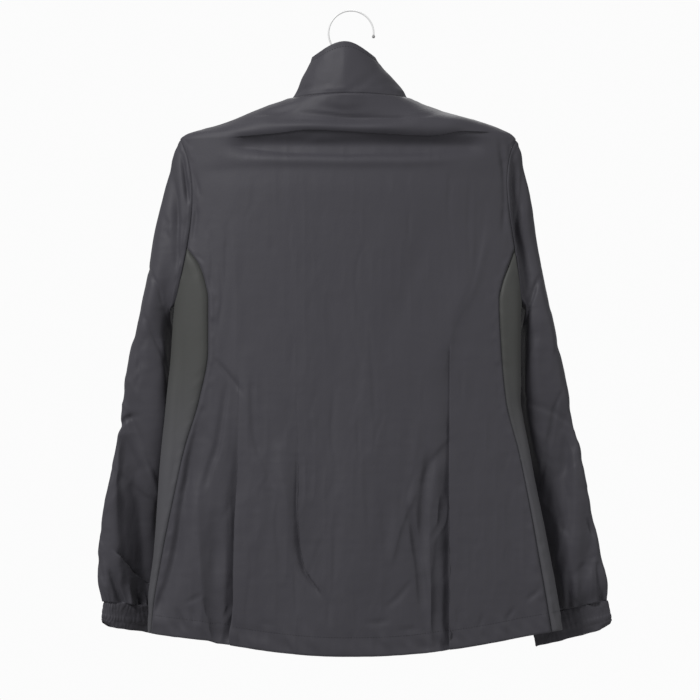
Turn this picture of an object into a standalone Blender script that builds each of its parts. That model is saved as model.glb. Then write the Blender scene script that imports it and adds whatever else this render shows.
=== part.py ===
"""Windbreaker jacket with a stand collar, zipped up and hanging on a wire hanger.

Units in the tables are millimetres; the meshes are written in metres, +Z up.
The origin is the inner top of the hanger's hook, where a rail or peg carries it.
The back of the jacket faces -Y, the zip faces +Y, and the wearer's right is +X.

The body and collar are one tube of rings, each ring named by its height at the side of the
body. Every cut piece is a patch of that tube between two seams, given a wall inwards.
"""
import math

import bpy
import numpy as np

MM = 0.001

# Driving dimensions
CLOTH = 1.2           # wall of the shell cloth
CUFF_WALL = 1.5       # wall of the shirred cuffs
SEAM_GAP = 0.3        # clear space between two pieces at a seam
COLLAR_TOP = -54.0    # height of the collar's top edge at the side
NECK = -101.0         # neck seam at the side
SHOULDER_TIP = -150.0  # where shoulder seam and sleeve meet
UNDERARM = -345.0     # lowest point of the armholes
HEM = -721.0          # lower edge at the side
ARMHOLE_STEPS = 10    # cells from shoulder tip to underarm
ZIP_HALF_OPENING = 6.5   # from the centre of the zip to the edge of a front
TAPE_WALL = 0.8       # wall of the woven zip tapes
CHAIN_WIDTH = 4.6     # of the closed teeth
CHAIN_WALL = 1.3
CUFF_RIBS = 36        # shirred ribs round each cuff
RIB_DEPTH = 0.9
GATHER_DEPTH = 2.2    # of the gathers where a sleeve meets its cuff
WIRE = 2.4            # diameter of the hanger's wire
HOOK_RADIUS = 26.4    # to the wire's centre line
HOOK_END = -4.0       # degrees, where the hook's tip stops
HOOK_START = 211.0    # degrees, where the hook leaves the shank
TIP_RADIUS = 2.2
HANGER_HALF = 178.0   # from the centre to the end of an arm
BAR_DROP = 22.0       # bottom bar below the arm's end

# Rings of the body and collar, from the hem up.
# side: height at the side; left, mid, right: ends and centre line along X;
# back, front: depth at the centre line; back_z, front_z: height of the centre line;
# flat: how flat back and front are across the middle; nose: how blunt the ring is at the side
RING_COLUMNS = ("side", "left", "mid", "right", "back", "back_z", "front", "front_z", "flat",
                "nose")
RINGS = (
    (HEM, -238.0, 2, 246.0, 50, -749.0, 46, -735.0, 0.62, 0.50),
    (-690, -238.0, 2, 241.5, 51, -710.0, 48, -700.0, 0.62, 0.52),
    (-630, -231.0, 1, 230.5, 52, -640.0, 50, -636.0, 0.62, 0.55),
    (-571, -226.0, 0, 219.5, 52, -574.0, 50, -573.0, 0.62, 0.55),
    (-513, -221.0, 0, 209.0, 51, -513.0, 49, -513.0, 0.62, 0.55),
    (-454, -214.5, 0, 199.0, 50, -454.0, 48, -456.0, 0.62, 0.55),
    (-396, -209.0, 0, 198.0, 49, -396.0, 47, -402.0, 0.62, 0.55),
    (UNDERARM, -206.0, 0, 198.5, 48, -345.0, 47, -360.0, 0.62, 0.55),
    (-290, -204.5, 0, 198.0, 47, -290.0, 47, -314.0, 0.62, 0.52),
    (-240, -203.5, 0, 197.5, 46, -240.0, 47, -272.0, 0.62, 0.48),
    (-190, -202.5, 0, 196.5, 45, -190.0, 47, -232.0, 0.62, 0.42),
    (SHOULDER_TIP, -200.0, 0, 193.0, 43, -150.0, 48, -202.0, 0.62, 0.36),
    (-144, -193.0, 0, 188.0, 43, -144.0, 48, -197.5, 0.62, 0.35),
    (-138, -173.5, 0, 176.0, 43, -138.0, 49, -193.0, 0.62, 0.35),
    (-132, -152.0, 0, 160.0, 43, -132.0, 50, -188.5, 0.62, 0.35),
    (-126, -136.0, 0, 140.0, 43, -126.5, 51, -184.0, 0.62, 0.36),
    (-119, -119.0, 0, 113.5, 43, -119.5, 53, -178.0, 0.60, 0.38),
    (-112, -101.0, 0, 93.0, 42, -112.0, 55, -172.5, 0.58, 0.42),
    (-106, -84.0, 0, 78.0, 41, -105.0, 58, -168.0, 0.56, 0.48),
    (NECK, -68.5, -1, 66.0, 40, -99.0, 60, -164.0, 0.54, 0.52),
    (-92, -63.0, -2, 61.5, 39, -90.0, 60, -155.0, 0.54, 0.54),
    (-79, -58.0, -4, 50.5, 37, -73.0, 58, -138.0, 0.54, 0.55),
    (-66, -51.0, -6, 38.0, 34, -54.0, 55, -119.0, 0.54, 0.55),
    (COLLAR_TOP, -45.5, -7, 29.0, 31, -38.5, 52, -102.0, 0.54, 0.55),
)

# Seams between the back or front and the side panels: distance from the centre line by height.
# The top of each seam is where it runs into the armhole.
SEAM_COLUMNS = ("side", "left_back", "right_back", "left_front", "right_front")
SEAMS = (
    (HEM, 234.5, 233.0, 205, 214),
    (-690, 231.0, 228.0, 202, 207),
    (-630, 220.0, 217.5, 194, 197),
    (-571, 207.5, 207.0, 184, 186),
    (-513, 194.5, 195.0, 174, 176),
    (-454, 176.5, 180.0, 164, 164),
    (-396, 166.0, 174.5, 159, 157),
    (-338, 166.0, 172.0, 160, 156),
    (-318, 169.5, 176.0, 162, 159),
    (-298, 176.5, 183.5, 165, 164),
)
JUNCTION = 6          # armhole step where the side panel's seams run into the armhole

# Armholes: reach towards the back and the front, and how much further it goes in the upper half
ARMHOLES = {
    1: {"back": 15.0, "back_high": 0.45, "front": 25.0, "front_high": -0.1},
    -1: {"back": 18.0, "back_high": 0.15, "front": 25.0, "front_high": -0.1},
}

# Largest folds: a soft ridge (+) or trough (-) along a line, on the back or on the front.
# x1, z1 to x2, z2: ends of the line; width: half-width; push: height; fade: length of the run-out
FOLD_COLUMNS = ("side", "x1", "z1", "x2", "z2", "width", "push", "fade")
FOLDS = (
    ("back", -100, -131, 115, -132, 10, 3.0, 45),
    ("back", -120, -148, 135, -149, 10, -6.0, 35),
    ("back", -95, -168, 95, -170, 12, 2.0, 45),
    ("back", -140, -190, 150, -192, 14, -2.0, 55),
    ("back", -158, -440, -158, -760, 13, 3.5, 90),
    ("back", -137, -440, -137, -760, 12, -5.5, 90),
    ("back", 108, -430, 108, -760, 12, -6.0, 90),
    ("back", 128, -430, 128, -760, 13, 4.5, 90),
    ("front", -96, -260, -110, -760, 17, 5.0, 120),
    ("front", -72, -240, -80, -760, 15, -4.5, 120),
    ("front", 104, -300, 120, -760, 17, 5.0, 120),
    ("front", 78, -240, 88, -760, 15, -4.5, 120),
)

# Columns of the panels that follow the long folds: X at the hem, X at GUIDE_TOP, and the cells
# between each line and the one before it. The last number is the cells up to the far edge.
GUIDE_TOP = -430.0
BACK_GUIDES = ((-154, -154, 3), (-134, -134, 2), (104, 104, 11), (123, 123, 2))
BACK_LAST = 4
RIGHT_GUIDES = ((120, 107, 3), (88, 80, 2))
LEFT_GUIDES = ((-110, -100, 3), (-80, -74, 2))
FRONT_LAST = 3

# Sleeve rings from the armhole down, as flattened hoops.
# ox, oy, oz and ix, iy, iz: the outer and inner end of the hoop; half: half its thickness;
# face: degrees by which its flat side turns from the back towards the body
SLEEVE_COLUMNS = ("ox", "oy", "oz", "ix", "iy", "iz", "half", "face")
RIGHT_SLEEVE = (
    (232, -6, -372, 196, 66, -398, 17, 60),
    (242, -4, -410, 186, 87, -438, 23, 58),
    (257, 0, -470, 174, 87, -484, 23, 47),
    (279, 4, -571, 187, 76, -577, 21, 38),
    (294, 8, -640, 204, 68, -648, 20, 34),
    (301, 12, -670, 210, 58, -688, 19, 27),
    (299, 18, -690.5, 215, 50, -711.5, 13, 21),
)
LEFT_SLEEVE = (
    (243, -6, -366, 206, 66, -398, 17, 60),
    (253, -4, -396, 194, 87, -438, 23, 58),
    (268, 0, -462, 182, 90, -482, 23, 47),
    (288, 4, -571, 200, 80, -577, 21, 41),
    (296, 8, -630, 211, 72, -640, 20, 37),
    (297, 10, -666, 216, 68, -680, 18, 36),
    (290, 12, -691.5, 220, 64, -702.5, 13, 36),
)
SLEEVE_RINGS = 17     # cells along a sleeve
SHOULDER_LINE = 72.0  # degrees round a hoop, from its outer end to the line below the shoulder
SLEEVE_ROLL = 6.0     # how far a sleeve stands off the body below its seam
# Cuffs: the top hoop and the bottom hoop, in the same columns
RIGHT_CUFF = (
    (302.5, 20, -691, 212.5, 49, -712, 11.5, 18),
    (307.5, 22, -723, 220, 50, -748, 11.5, 18),
)
LEFT_CUFF = (
    (290, 12, -692, 219, 64, -703, 11.5, 36),
    (294, 12, -724, 222, 64, -741, 11.5, 36),
)

# Zip slider, placed on the collar
SLIDER_LEVEL = -66.0
SLIDER = (8.0, 10.0, 2.6)     # width, height, thickness
PULL_LENGTH = 17.0
PULL_WIDTH = 6.4
PULL_WIRE = 1.3
BRIDGE_WIRE = 1.2


def columns(names, rows):
    """Named columns of a table of numbers."""
    return {name: np.array([row[i] for row in rows], float) for i, name in enumerate(names)}


RING = columns(RING_COLUMNS, RINGS)
SEAM = columns(SEAM_COLUMNS, SEAMS)


def smooth_curve(x, known_x, known_y):
    """A curve through the known points that never overshoots between two of them."""
    step = np.diff(known_x)
    slope = np.diff(known_y) / step
    tangent = np.zeros(len(known_x))
    for i in range(1, len(known_x) - 1):
        if slope[i - 1] * slope[i] > 0:
            w1 = 2 * step[i] + step[i - 1]
            w2 = step[i] + 2 * step[i - 1]
            tangent[i] = (w1 + w2) / (w1 / slope[i - 1] + w2 / slope[i])
    tangent[0] = slope[0]
    tangent[-1] = slope[-1]
    i = np.clip(np.searchsorted(known_x, x) - 1, 0, len(step) - 1)
    h = step[i]
    t = np.clip((x - known_x[i]) / h, 0.0, 1.0)
    return (known_y[i] * (1 + 2 * t) * (1 - t) ** 2 + tangent[i] * h * t * (1 - t) ** 2
            + known_y[i + 1] * t * t * (3 - 2 * t) - tangent[i + 1] * h * t * t * (1 - t))


def ring_value(name, level):
    """One column of the ring table at a height between its rows."""
    return smooth_curve(np.asarray(level, float), RING["side"], RING[name])


def plain_point(turn, level):
    """A point of the smooth tube.

    turn runs from -2 to 2: 0 is the centre of the back, 1 the right side,
    -1 the left side and 2 or -2 the centre of the front.
    """
    turn = np.asarray(turn, float)
    level = np.asarray(level, float) + turn * 0
    turn = turn + level * 0
    q = np.abs(turn)
    back = q <= 1
    t = np.where(back, q, 2 - q)
    u = 1 - t
    flat = ring_value("flat", level)
    nose = ring_value("nose", level)
    reach = np.where(turn >= 0, ring_value("right", level), ring_value("left", level))
    middle = ring_value("mid", level)
    along = 3 * u * u * t * flat + 3 * u * t * t + t ** 3
    x = middle * (1 - along) + reach * along
    deep = u ** 3 + 3 * u * u * t + 3 * u * t * t * nose
    y = np.where(back, -ring_value("back", level), ring_value("front", level)) * deep
    lift = (u * u * (1 + 2 * t)) ** 1.5
    centre_z = np.where(back, ring_value("back_z", level), ring_value("front_z", level))
    z = level + (centre_z - level) * lift
    return np.stack([x, y, z], axis=-1)


def unit(v):
    """Vectors scaled to length one."""
    return v / np.maximum(np.linalg.norm(v, axis=-1, keepdims=True), 1e-9)


def facing(surface, turn, level, dt=0.01, dl=1.5):
    """Outward direction of a surface given as a function of turn and level."""
    level = np.asarray(level, float)
    low = np.maximum(level - dl, HEM)
    high = np.minimum(level + dl, COLLAR_TOP)
    across = surface(turn + dt, level) - surface(turn - dt, level)
    up = surface(turn, high) - surface(turn, low)
    return unit(np.cross(across, up))


def fold_push(point, turn):
    """How far the folds push the cloth out or in at a point."""
    push = np.zeros(point.shape[:-1])
    on_back = np.abs(turn) < 1
    for side, x1, z1, x2, z2, width, height, fade in FOLDS:
        dx, dz = x2 - x1, z2 - z1
        length = math.hypot(dx, dz)
        along = ((point[..., 0] - x1) * dx + (point[..., 2] - z1) * dz) / length
        off = ((point[..., 0] - x1) * dz - (point[..., 2] - z1) * dx) / length
        past = np.maximum(np.maximum(-along, along - length), 0)
        shape = np.exp(-(off / width) ** 2 - (past / fade * 2) ** 2)
        push += np.where(on_back == (side == "back"), height * shape, 0)
    # folds die away towards the sides, where the cloth turns
    edge = np.clip(np.abs(np.abs(turn) - 1) / 0.35, 0, 1)
    return push * edge * edge * (3 - 2 * edge)


def body_point(turn, level):
    """A point of the tube with its folds."""
    plain = plain_point(turn, level)
    push = fold_push(plain, np.asarray(turn) + plain[..., 0] * 0)
    return plain + facing(plain_point, turn, level) * push[..., None]


def body_facing(turn, level):
    """Outward direction of the folded tube."""
    return facing(body_point, turn, level, 0.012, 2.0)


def turn_at_x(distance, level, sign, front=False):
    """The turn at which a ring is a given distance from X = 0 on one side."""
    fine = np.linspace(0, 1, 401)
    path = (2 - fine if front else fine) * sign
    across = plain_point(path, level)[..., 0] * sign
    return float(np.interp(distance, across, path))


def turn_at_depth(y, level, sign):
    """The turn at which a ring reaches a given depth beside the left or right side."""
    fine = np.linspace(0.25, 1.75, 801)
    depth = plain_point(fine * sign, level)[..., 1]
    return float(np.interp(y, depth, fine)) * sign


def shifted(turn, level, direction, distance):
    """Turn and level of the point that lies a short distance along the surface."""
    by_turn = (plain_point(turn + 0.002, level) - plain_point(turn - 0.002, level)) / 0.004
    by_level = (plain_point(turn, level + 0.5) - plain_point(turn, level - 0.5)) / 1.0
    matrix = np.stack([by_turn, by_level], axis=1)
    change, _, _, _ = np.linalg.lstsq(matrix, direction * distance, rcond=None)
    return turn + change[0], level + change[1]


def armhole_at(step, sign):
    """Turn and level of the armhole edge; step 0 is the shoulder tip, going down the back."""
    b = math.pi * step / ARMHOLE_STEPS
    hole = ARMHOLES[sign]
    level = SHOULDER_TIP + (UNDERARM - SHOULDER_TIP) * (1 - math.cos(b)) / 2
    if step <= ARMHOLE_STEPS:
        depth = -hole["back"] * math.sin(b) * (1 + hole["back_high"] * math.cos(b))
    else:
        depth = -hole["front"] * math.sin(b) * (1 + hole["front_high"] * math.cos(b))
    return turn_at_depth(depth, level, sign), level


def armhole_edge(step, sign):
    """The armhole edge drawn back into the body by half a seam gap and a little more."""
    count = 2 * ARMHOLE_STEPS
    turn, level = armhole_at(step % count, sign)
    before = plain_point(*armhole_at((step - 1) % count, sign))
    after = plain_point(*armhole_at((step + 1) % count, sign))
    normal = facing(plain_point, turn, level)
    run = unit(after - before)
    away = unit(np.cross(run, normal))
    centre = plain_point(sign, (SHOULDER_TIP + UNDERARM) / 2)
    if np.dot(away, plain_point(turn, level) - centre) < 0:
        away = -away
    return shifted(turn, level, away, SEAM_GAP * 1.15)


def level_rows():
    """Heights of the rows from the hem to the neck seam."""
    lower = list(np.linspace(HEM, UNDERARM, 15))
    steps = range(ARMHOLE_STEPS - 1, -1, -1)
    holes = [armhole_at(step, 1)[1] for step in steps]
    upper = [-144.0, -138.0, -132.0, -125.0, -117.0, -109.0, NECK - SEAM_GAP * 0.2]
    return lower, holes, upper


LOWER_ROWS, HOLE_ROWS, UPPER_ROWS = level_rows()


def seam_turn(name, level, shift):
    """Turn of a side-panel seam, moved along the ring by a short distance."""
    sign = 1 if name.startswith("right") else -1
    front = name.endswith("front")
    end_turn, end_level = armhole_at(2 * ARMHOLE_STEPS - JUNCTION if front else JUNCTION, sign)
    end_x = float(plain_point(end_turn, end_level)[0]) * sign
    heights = np.append(SEAM["side"], end_level)
    distances = np.append(SEAM[name], end_x)
    distance = float(smooth_curve(np.asarray(level, float), heights, distances))
    turn = turn_at_x(distance, level, sign, front)
    along = unit(plain_point(turn + 0.002, level) - plain_point(turn - 0.002, level))
    new_turn, _ = shifted(turn, level, along, shift)
    return new_turn


def side_turn(sign, level, shift):
    """Turn of the shoulder seam, moved along the ring by a short distance."""
    along = unit(plain_point(sign + 0.002, level) - plain_point(sign - 0.002, level))
    new_turn, _ = shifted(float(sign), level, along, shift)
    return new_turn


def panel_edge(sign, front, row_kind, index, level):
    """Turn and level of a back or front panel's outer edge in one row."""
    half = SEAM_GAP / 2
    name = ("right" if sign > 0 else "left") + ("_front" if front else "_back")
    towards_middle = (1 if front else -1) * sign
    if row_kind == "upper":
        return side_turn(sign, level, half * towards_middle), level
    if row_kind == "hole" and index < JUNCTION:
        step = 2 * ARMHOLE_STEPS - index if front else index
        turn, edge_level = armhole_edge(step, sign)
        if index == 0:
            turn = side_turn(sign, edge_level, half * towards_middle)
        return turn, edge_level
    if row_kind == "hole" and index == JUNCTION:
        level -= SEAM_GAP
    return seam_turn(name, level, half * towards_middle), level


def spread(turn_a, level_a, turn_b, level_b, cells):
    """Evenly spaced points of a row between two edges."""
    fraction = np.linspace(0, 1, 161)
    turns = turn_a + (turn_b - turn_a) * fraction
    levels = level_a + (level_b - level_a) * fraction
    points = plain_point(turns, levels)
    length = np.concatenate([[0], np.cumsum(np.linalg.norm(np.diff(points, axis=0), axis=1))])
    at = np.interp(np.linspace(0, length[-1], cells + 1), length, fraction)
    return turn_a + (turn_b - turn_a) * at, level_a + (level_b - level_a) * at


def guide_turn(x_hem, x_top, level, front):
    """Turn of a column that follows a long fold; above GUIDE_TOP it keeps its turn."""
    held = min(level, GUIDE_TOP)
    x = x_top + (x_hem - x_top) * (held - GUIDE_TOP) / (HEM - GUIDE_TOP)
    sign = 1 if x > 0 else -1
    return turn_at_x(abs(x), held, sign, front)


def guided_row(edge_a, edge_b, guides, last_cells, front):
    """One row between two edges, with columns on the guide lines."""
    stops = [edge_a]
    cells = []
    middle_level = (edge_a[1] + edge_b[1]) / 2
    for x_hem, x_top, count in guides:
        stops.append((guide_turn(x_hem, x_top, middle_level, front), middle_level))
        cells.append(count)
    stops.append(edge_b)
    cells.append(last_cells)
    turns, levels = [], []
    for (turn_a, level_a), (turn_b, level_b), count in zip(stops, stops[1:], cells):
        row_turns, row_levels = spread(turn_a, level_a, turn_b, level_b, count)
        first = 1 if turns else 0
        turns.extend(row_turns[first:])
        levels.extend(row_levels[first:])
    return turns, levels


def all_rows():
    """Kind, armhole step and height of each row from the hem to the neck."""
    rows = [("lower", 0, level) for level in LOWER_ROWS]
    steps = range(ARMHOLE_STEPS - 1, -1, -1)
    rows += [("hole", step, level) for step, level in zip(steps, HOLE_ROWS)]
    rows += [("upper", 0, level) for level in UPPER_ROWS]
    return rows


def zip_turn(sign, level, distance):
    """Turn beside the zip at a distance from its centre."""
    middle = float(ring_value("mid", level))
    return turn_at_x(middle * sign + distance, level, sign, True)


def surface_points(turns, levels, offset):
    """Points of the folded tube moved along its outward direction."""
    return body_point(turns, levels) + body_facing(turns, levels) * offset


def add_mesh(name, vertices, faces, material):
    """Write one named mesh object, in metres."""
    mesh = bpy.data.meshes.new(name)
    mesh.from_pydata([tuple(v * MM) for v in vertices], [], faces)
    mesh.materials.append(material)
    mesh.update()
    item = bpy.data.objects.new(name, mesh)
    bpy.context.scene.collection.objects.link(item)
    return item


def add_wall(name, outer, inner, material, closed=False):
    """Close an outer and an inner grid of points into one solid wall.

    closed joins the last column to the first, as round a sleeve.
    """
    rows, cols = outer.shape[:2]
    vertices = np.concatenate([outer.reshape(-1, 3), inner.reshape(-1, 3)])
    inside = rows * cols
    last = cols if closed else cols - 1
    faces = []
    for i in range(rows - 1):
        for j in range(last):
            a = i * cols + j
            b = i * cols + (j + 1) % cols
            c, d = b + cols, a + cols
            if np.linalg.norm(vertices[a] - vertices[c]) < np.linalg.norm(vertices[b] - vertices[d]):
                halves = ((a, b, c), (a, c, d))
            else:
                halves = ((a, b, d), (b, c, d))
            for p, q, r in halves:
                faces.append((p, q, r))
                faces.append((inside + r, inside + q, inside + p))
    rims = []
    for j in range(last):
        rims.append((j, (j + 1) % cols, True))
        rims.append(((rows - 1) * cols + j, (rows - 1) * cols + (j + 1) % cols, False))
    if not closed:
        for i in range(rows - 1):
            rims.append((i * cols, (i + 1) * cols, False))
            rims.append((i * cols + cols - 1, (i + 1) * cols + cols - 1, True))
    for a, b, flip in rims:
        if flip:
            a, b = b, a
        faces.append((a, b, inside + b, inside + a))
    return add_mesh(name, vertices, faces, material)


def make_material(name, colour, roughness, metallic=0.0):
    """A plain material."""
    material = bpy.data.materials.new(name)
    material.use_nodes = True
    shader = material.node_tree.nodes["Principled BSDF"]
    shader.inputs["Base Color"].default_value = (*colour, 1)
    shader.inputs["Roughness"].default_value = roughness
    shader.inputs["Metallic"].default_value = metallic
    material.diffuse_color = (*colour, 1)
    return material


def build_back(material):
    """Back panel in one piece, from hem to neck."""
    turns, levels = [], []
    for kind, index, level in all_rows():
        left = panel_edge(-1, False, kind, index, level)
        right = panel_edge(1, False, kind, index, level)
        row_turns, row_levels = guided_row(left, right, BACK_GUIDES, BACK_LAST, False)
        turns.append(row_turns)
        levels.append(row_levels)
    turns, levels = np.array(turns), np.array(levels)
    add_wall("back_panel", surface_points(turns, levels, 0),
             surface_points(turns, levels, -CLOTH), material)
    return turns[-1]


def build_front(sign, material):
    """One front, from the side-panel seam to the zip."""
    turns, levels = [], []
    guides = RIGHT_GUIDES if sign > 0 else LEFT_GUIDES
    for kind, index, level in all_rows():
        outer = panel_edge(sign, True, kind, index, level)
        inner = (zip_turn(sign, outer[1], ZIP_HALF_OPENING), outer[1])
        row_turns, row_levels = guided_row(outer, inner, guides, FRONT_LAST, True)
        turns.append(row_turns)
        levels.append(row_levels)
    turns, levels = np.array(turns), np.array(levels)
    if sign < 0:
        turns, levels = turns[:, ::-1], levels[:, ::-1]
    add_wall("front_right" if sign > 0 else "front_left", surface_points(turns, levels, 0),
             surface_points(turns, levels, -CLOTH), material)
    return turns[-1]


def build_side(sign, material):
    """One side panel, whose top follows the lower part of the armhole."""
    name = "right" if sign > 0 else "left"
    steps = list(range(JUNCTION, 2 * ARMHOLE_STEPS - JUNCTION + 1))
    top = [armhole_edge(step, sign) for step in steps]
    cells = len(steps) - 1
    half = SEAM_GAP / 2
    heights = LOWER_ROWS + [armhole_at(s, 1)[1] for s in range(ARMHOLE_STEPS - 1, JUNCTION - 1, -1)]
    heights[-1] -= SEAM_GAP
    span = heights[-1] - HEM
    turns, levels = [], []
    for height in heights:
        rise = (height - HEM) / span
        row_turns, row_levels = [], []
        for j in range(cells + 1):
            top_turn, top_level = top[j]
            top_level = min(top_level, heights[-1])
            if j in (0, cells):
                top_level = heights[-1]
            level = HEM + (top_level - HEM) * rise
            first = seam_turn(name + "_back", level, half * sign)
            last = seam_turn(name + "_front", level, -half * sign)
            top_first = seam_turn(name + "_back", top_level, half * sign)
            top_last = seam_turn(name + "_front", top_level, -half * sign)
            at_top = np.clip((top_turn - top_first) / (top_last - top_first), 0, 1)
            if j in (0, cells):
                at_top = j / cells
            share = (1 - rise) * j / cells + rise * at_top
            row_turns.append(first + (last - first) * share)
            row_levels.append(level)
        turns.append(row_turns)
        levels.append(row_levels)
    turns, levels = np.array(turns), np.array(levels)
    if sign < 0:
        turns, levels = turns[:, ::-1], levels[:, ::-1]
    add_wall("side_panel_" + name, surface_points(turns, levels, 0),
             surface_points(turns, levels, -CLOTH), material)


def build_collar(left_turns, back_turns, right_turns, material):
    """Stand collar, one band from zip edge to zip edge round the back.

    Its columns start at the same places as those of the panels under it.
    """
    neck = np.concatenate([left_turns, back_turns[1:-1], right_turns])
    neck[len(left_turns) - 1] = -1.0
    neck[len(left_turns) + len(back_turns) - 2] = 1.0
    levels = [NECK + SEAM_GAP * 0.8, -90.0, -78.0, -66.0, COLLAR_TOP]
    turns, heights = [], []
    for level in levels:
        left = zip_turn(-1, level, ZIP_HALF_OPENING)
        right = zip_turn(1, level, ZIP_HALF_OPENING)
        row = neck.copy()
        on_left = row <= -1
        on_right = row >= 1
        row[on_left] = -1 + (row[on_left] + 1) * (left + 1) / (neck[0] + 1)
        row[on_right] = 1 + (row[on_right] - 1) * (right - 1) / (neck[-1] - 1)
        turns.append(row)
        heights.append(np.full(len(row), level))
    turns, heights = np.array(turns), np.array(heights)
    add_wall("collar", surface_points(turns, heights, 0),
             surface_points(turns, heights, -CLOTH), material)


def zip_grid(levels, half_width, cells):
    """Turn and level of a strip that runs up the centre of the front."""
    turns = []
    for level in levels:
        across = np.linspace(half_width, -half_width, cells + 1)
        row = []
        for x in across:
            sign = 1 if x > 1e-6 else -1
            row.append(zip_turn(sign, level, abs(x)) if abs(x) > 1e-6 else 2.0)
        turns.append([t if t > 0 else 4 + t for t in row])
    return np.array(turns), np.repeat(np.array(levels)[:, None], cells + 1, axis=1)


def wrap(turn):
    """Bring a turn past the centre of the front back into -2 to 2."""
    return np.where(turn > 2, turn - 4, turn)


def strip_points(turns, levels, offset):
    """Points of a strip across the centre of the front."""
    plain = plain_point(wrap(turns), levels)
    push = fold_push(plain, wrap(turns))
    ahead = facing(plain_point, 1.99 + turns * 0, levels)
    ahead[..., 0] = 0
    return plain + unit(ahead) * (push[..., None] + offset)


def build_zip(tape, teeth, metal):
    """Closed zip: tape, chain, slider with its bridge, and the pull that hangs from it."""
    levels = LOWER_ROWS[::2] + HOLE_ROWS[1::2] + UPPER_ROWS + [-90.0, -78.0, -66.0, COLLAR_TOP]
    tape_levels = [HEM + 0.0] + levels[1:]
    turns, heights = zip_grid(tape_levels, ZIP_HALF_OPENING - SEAM_GAP, 2)
    add_wall("zip_tape", strip_points(turns, heights, -0.9),
             strip_points(turns, heights, -0.9 - TAPE_WALL), tape)
    chain_levels = [HEM + 8.0] + levels[1:-1] + [COLLAR_TOP - 3.0]
    turns, heights = zip_grid(chain_levels, CHAIN_WIDTH / 2, 1)
    add_wall("zip_chain", strip_points(turns, heights, -0.6 + CHAIN_WALL),
             strip_points(turns, heights, -0.6), teeth)

    centre = strip_points(np.array([2.0]), np.array([SLIDER_LEVEL]), 0)[0]
    above = strip_points(np.array([2.0]), np.array([SLIDER_LEVEL + 5]), 0)[0]
    below = strip_points(np.array([2.0]), np.array([SLIDER_LEVEL - 5]), 0)[0]
    up = unit(above - below)
    out = unit(np.cross(up, np.array([1.0, 0, 0])))
    if out[1] < 0:
        out = -out
    side = np.array([1.0, 0, 0])
    width, height, thick = SLIDER
    lift = -0.6 + CHAIN_WALL + 0.35
    base = centre + out * (lift + thick / 2)
    add_block("zip_slider", base, side, out, up, width, thick, height, 1.1, metal)
    top = base + out * (thick / 2 + 0.3 + BRIDGE_WIRE / 2 - 0.3)
    reach, rise = 3.0, 2.7
    bridge = []
    for i in range(9):
        angle = math.pi * i / 8
        bridge.append(top + up * reach * math.cos(angle) + out * (0.35 + rise * math.sin(angle)))
    add_tube("zip_bridge", bridge, BRIDGE_WIRE, metal, False, 3)
    pivot = top + out * (rise + 0.35 - BRIDGE_WIRE / 2 - PULL_WIRE / 2 - 0.25)
    down = -up
    loop = []
    corner = 1.6
    half = PULL_WIDTH / 2
    for cx, cz, start in ((half - corner, corner, -90), (half - corner, PULL_LENGTH - corner, 0),
                          (corner - half, PULL_LENGTH - corner, 90), (corner - half, corner, 180)):
        for i in range(4):
            angle = math.radians(start + 30 * i)
            across = cx + corner * math.cos(angle)
            along = cz + corner * math.sin(angle)
            loop.append(pivot + side * across + down * along)
    add_tube("zip_pull", loop, PULL_WIRE, metal, True, 2)
    return pivot


def add_block(name, centre, side, out, up, width, thick, height, taper, material):
    """A block with its long edges bevelled, square to the given directions."""
    outline = []
    for x, y in ((-1, -1), (1, -1), (1, 0.2), (0.72, 1), (-0.72, 1), (-1, 0.2)):
        outline.append((x * width / 2, y * thick / 2))
    vertices = []
    for z, scale in ((-height / 2, 0.86), (-height / 2 + taper, 1.0), (height / 2 - taper, 1.0),
                     (height / 2, 0.86)):
        for x, y in outline:
            vertices.append(centre + side * x * scale + out * y + up * z)
    count = len(outline)
    faces = [tuple(range(count - 1, -1, -1)), tuple(range(3 * count, 4 * count))]
    for i in range(3):
        for j in range(count):
            a, b = i * count + j, i * count + (j + 1) % count
            faces.append((a, b, b + count, a + count))
    item = add_mesh(name, vertices, faces, material)
    turn_outward(item)


def turn_outward(item):
    """Make the faces of a closed mesh look out."""
    mesh = item.data
    volume = 0.0
    for face in mesh.polygons:
        p = [mesh.vertices[i].co for i in face.vertices]
        for i in range(1, len(p) - 1):
            volume += p[0].dot(p[i].cross(p[i + 1]))
    if volume < 0:
        mesh.flip_normals()


def add_tube(name, points, diameter, material, cyclic, resolution):
    """A round wire along a path of points."""
    curve = bpy.data.curves.new(name, "CURVE")
    curve.dimensions = "3D"
    curve.bevel_depth = diameter / 2 * MM
    curve.bevel_resolution = resolution - 1
    curve.use_fill_caps = not cyclic
    spline = curve.splines.new("POLY")
    spline.points.add(len(points) - 1)
    for point, place in zip(spline.points, points):
        point.co = (*(place * MM), 1)
    spline.use_cyclic_u = cyclic
    curve.materials.append(material)
    item = bpy.data.objects.new(name, curve)
    bpy.context.scene.collection.objects.link(item)
    return item


def hoop_ends(row, sign):
    """Outer and inner end of a hoop."""
    return np.array([row[0] * sign, row[1], row[2]]), np.array([row[3] * sign, row[4], row[5]])


def hoop_across(row, sign):
    """Direction across a hoop, towards the back."""
    face = math.radians(row[7])
    return np.array([-sign * math.sin(face), -math.cos(face), 0.0])


def hoop_points(row, sign, count):
    """Points of one flattened hoop, from below the shoulder tip and going round the back."""
    outer, inner = hoop_ends(row, sign)
    b = np.arange(count) * 2 * math.pi / count - math.radians(SHOULDER_LINE)
    swell = 1 + 0.12 * np.sin(b) ** 2
    return ((outer + inner) / 2 + np.cos(b)[:, None] * (outer - inner) / 2
            + (np.sin(b) * swell)[:, None] * hoop_across(row, sign) * row[6])


def hoop_axis(row, sign):
    """Direction square to the plane of a hoop."""
    outer, inner = hoop_ends(row, sign)
    return unit(np.cross(outer - inner, hoop_across(row, sign)))


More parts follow.
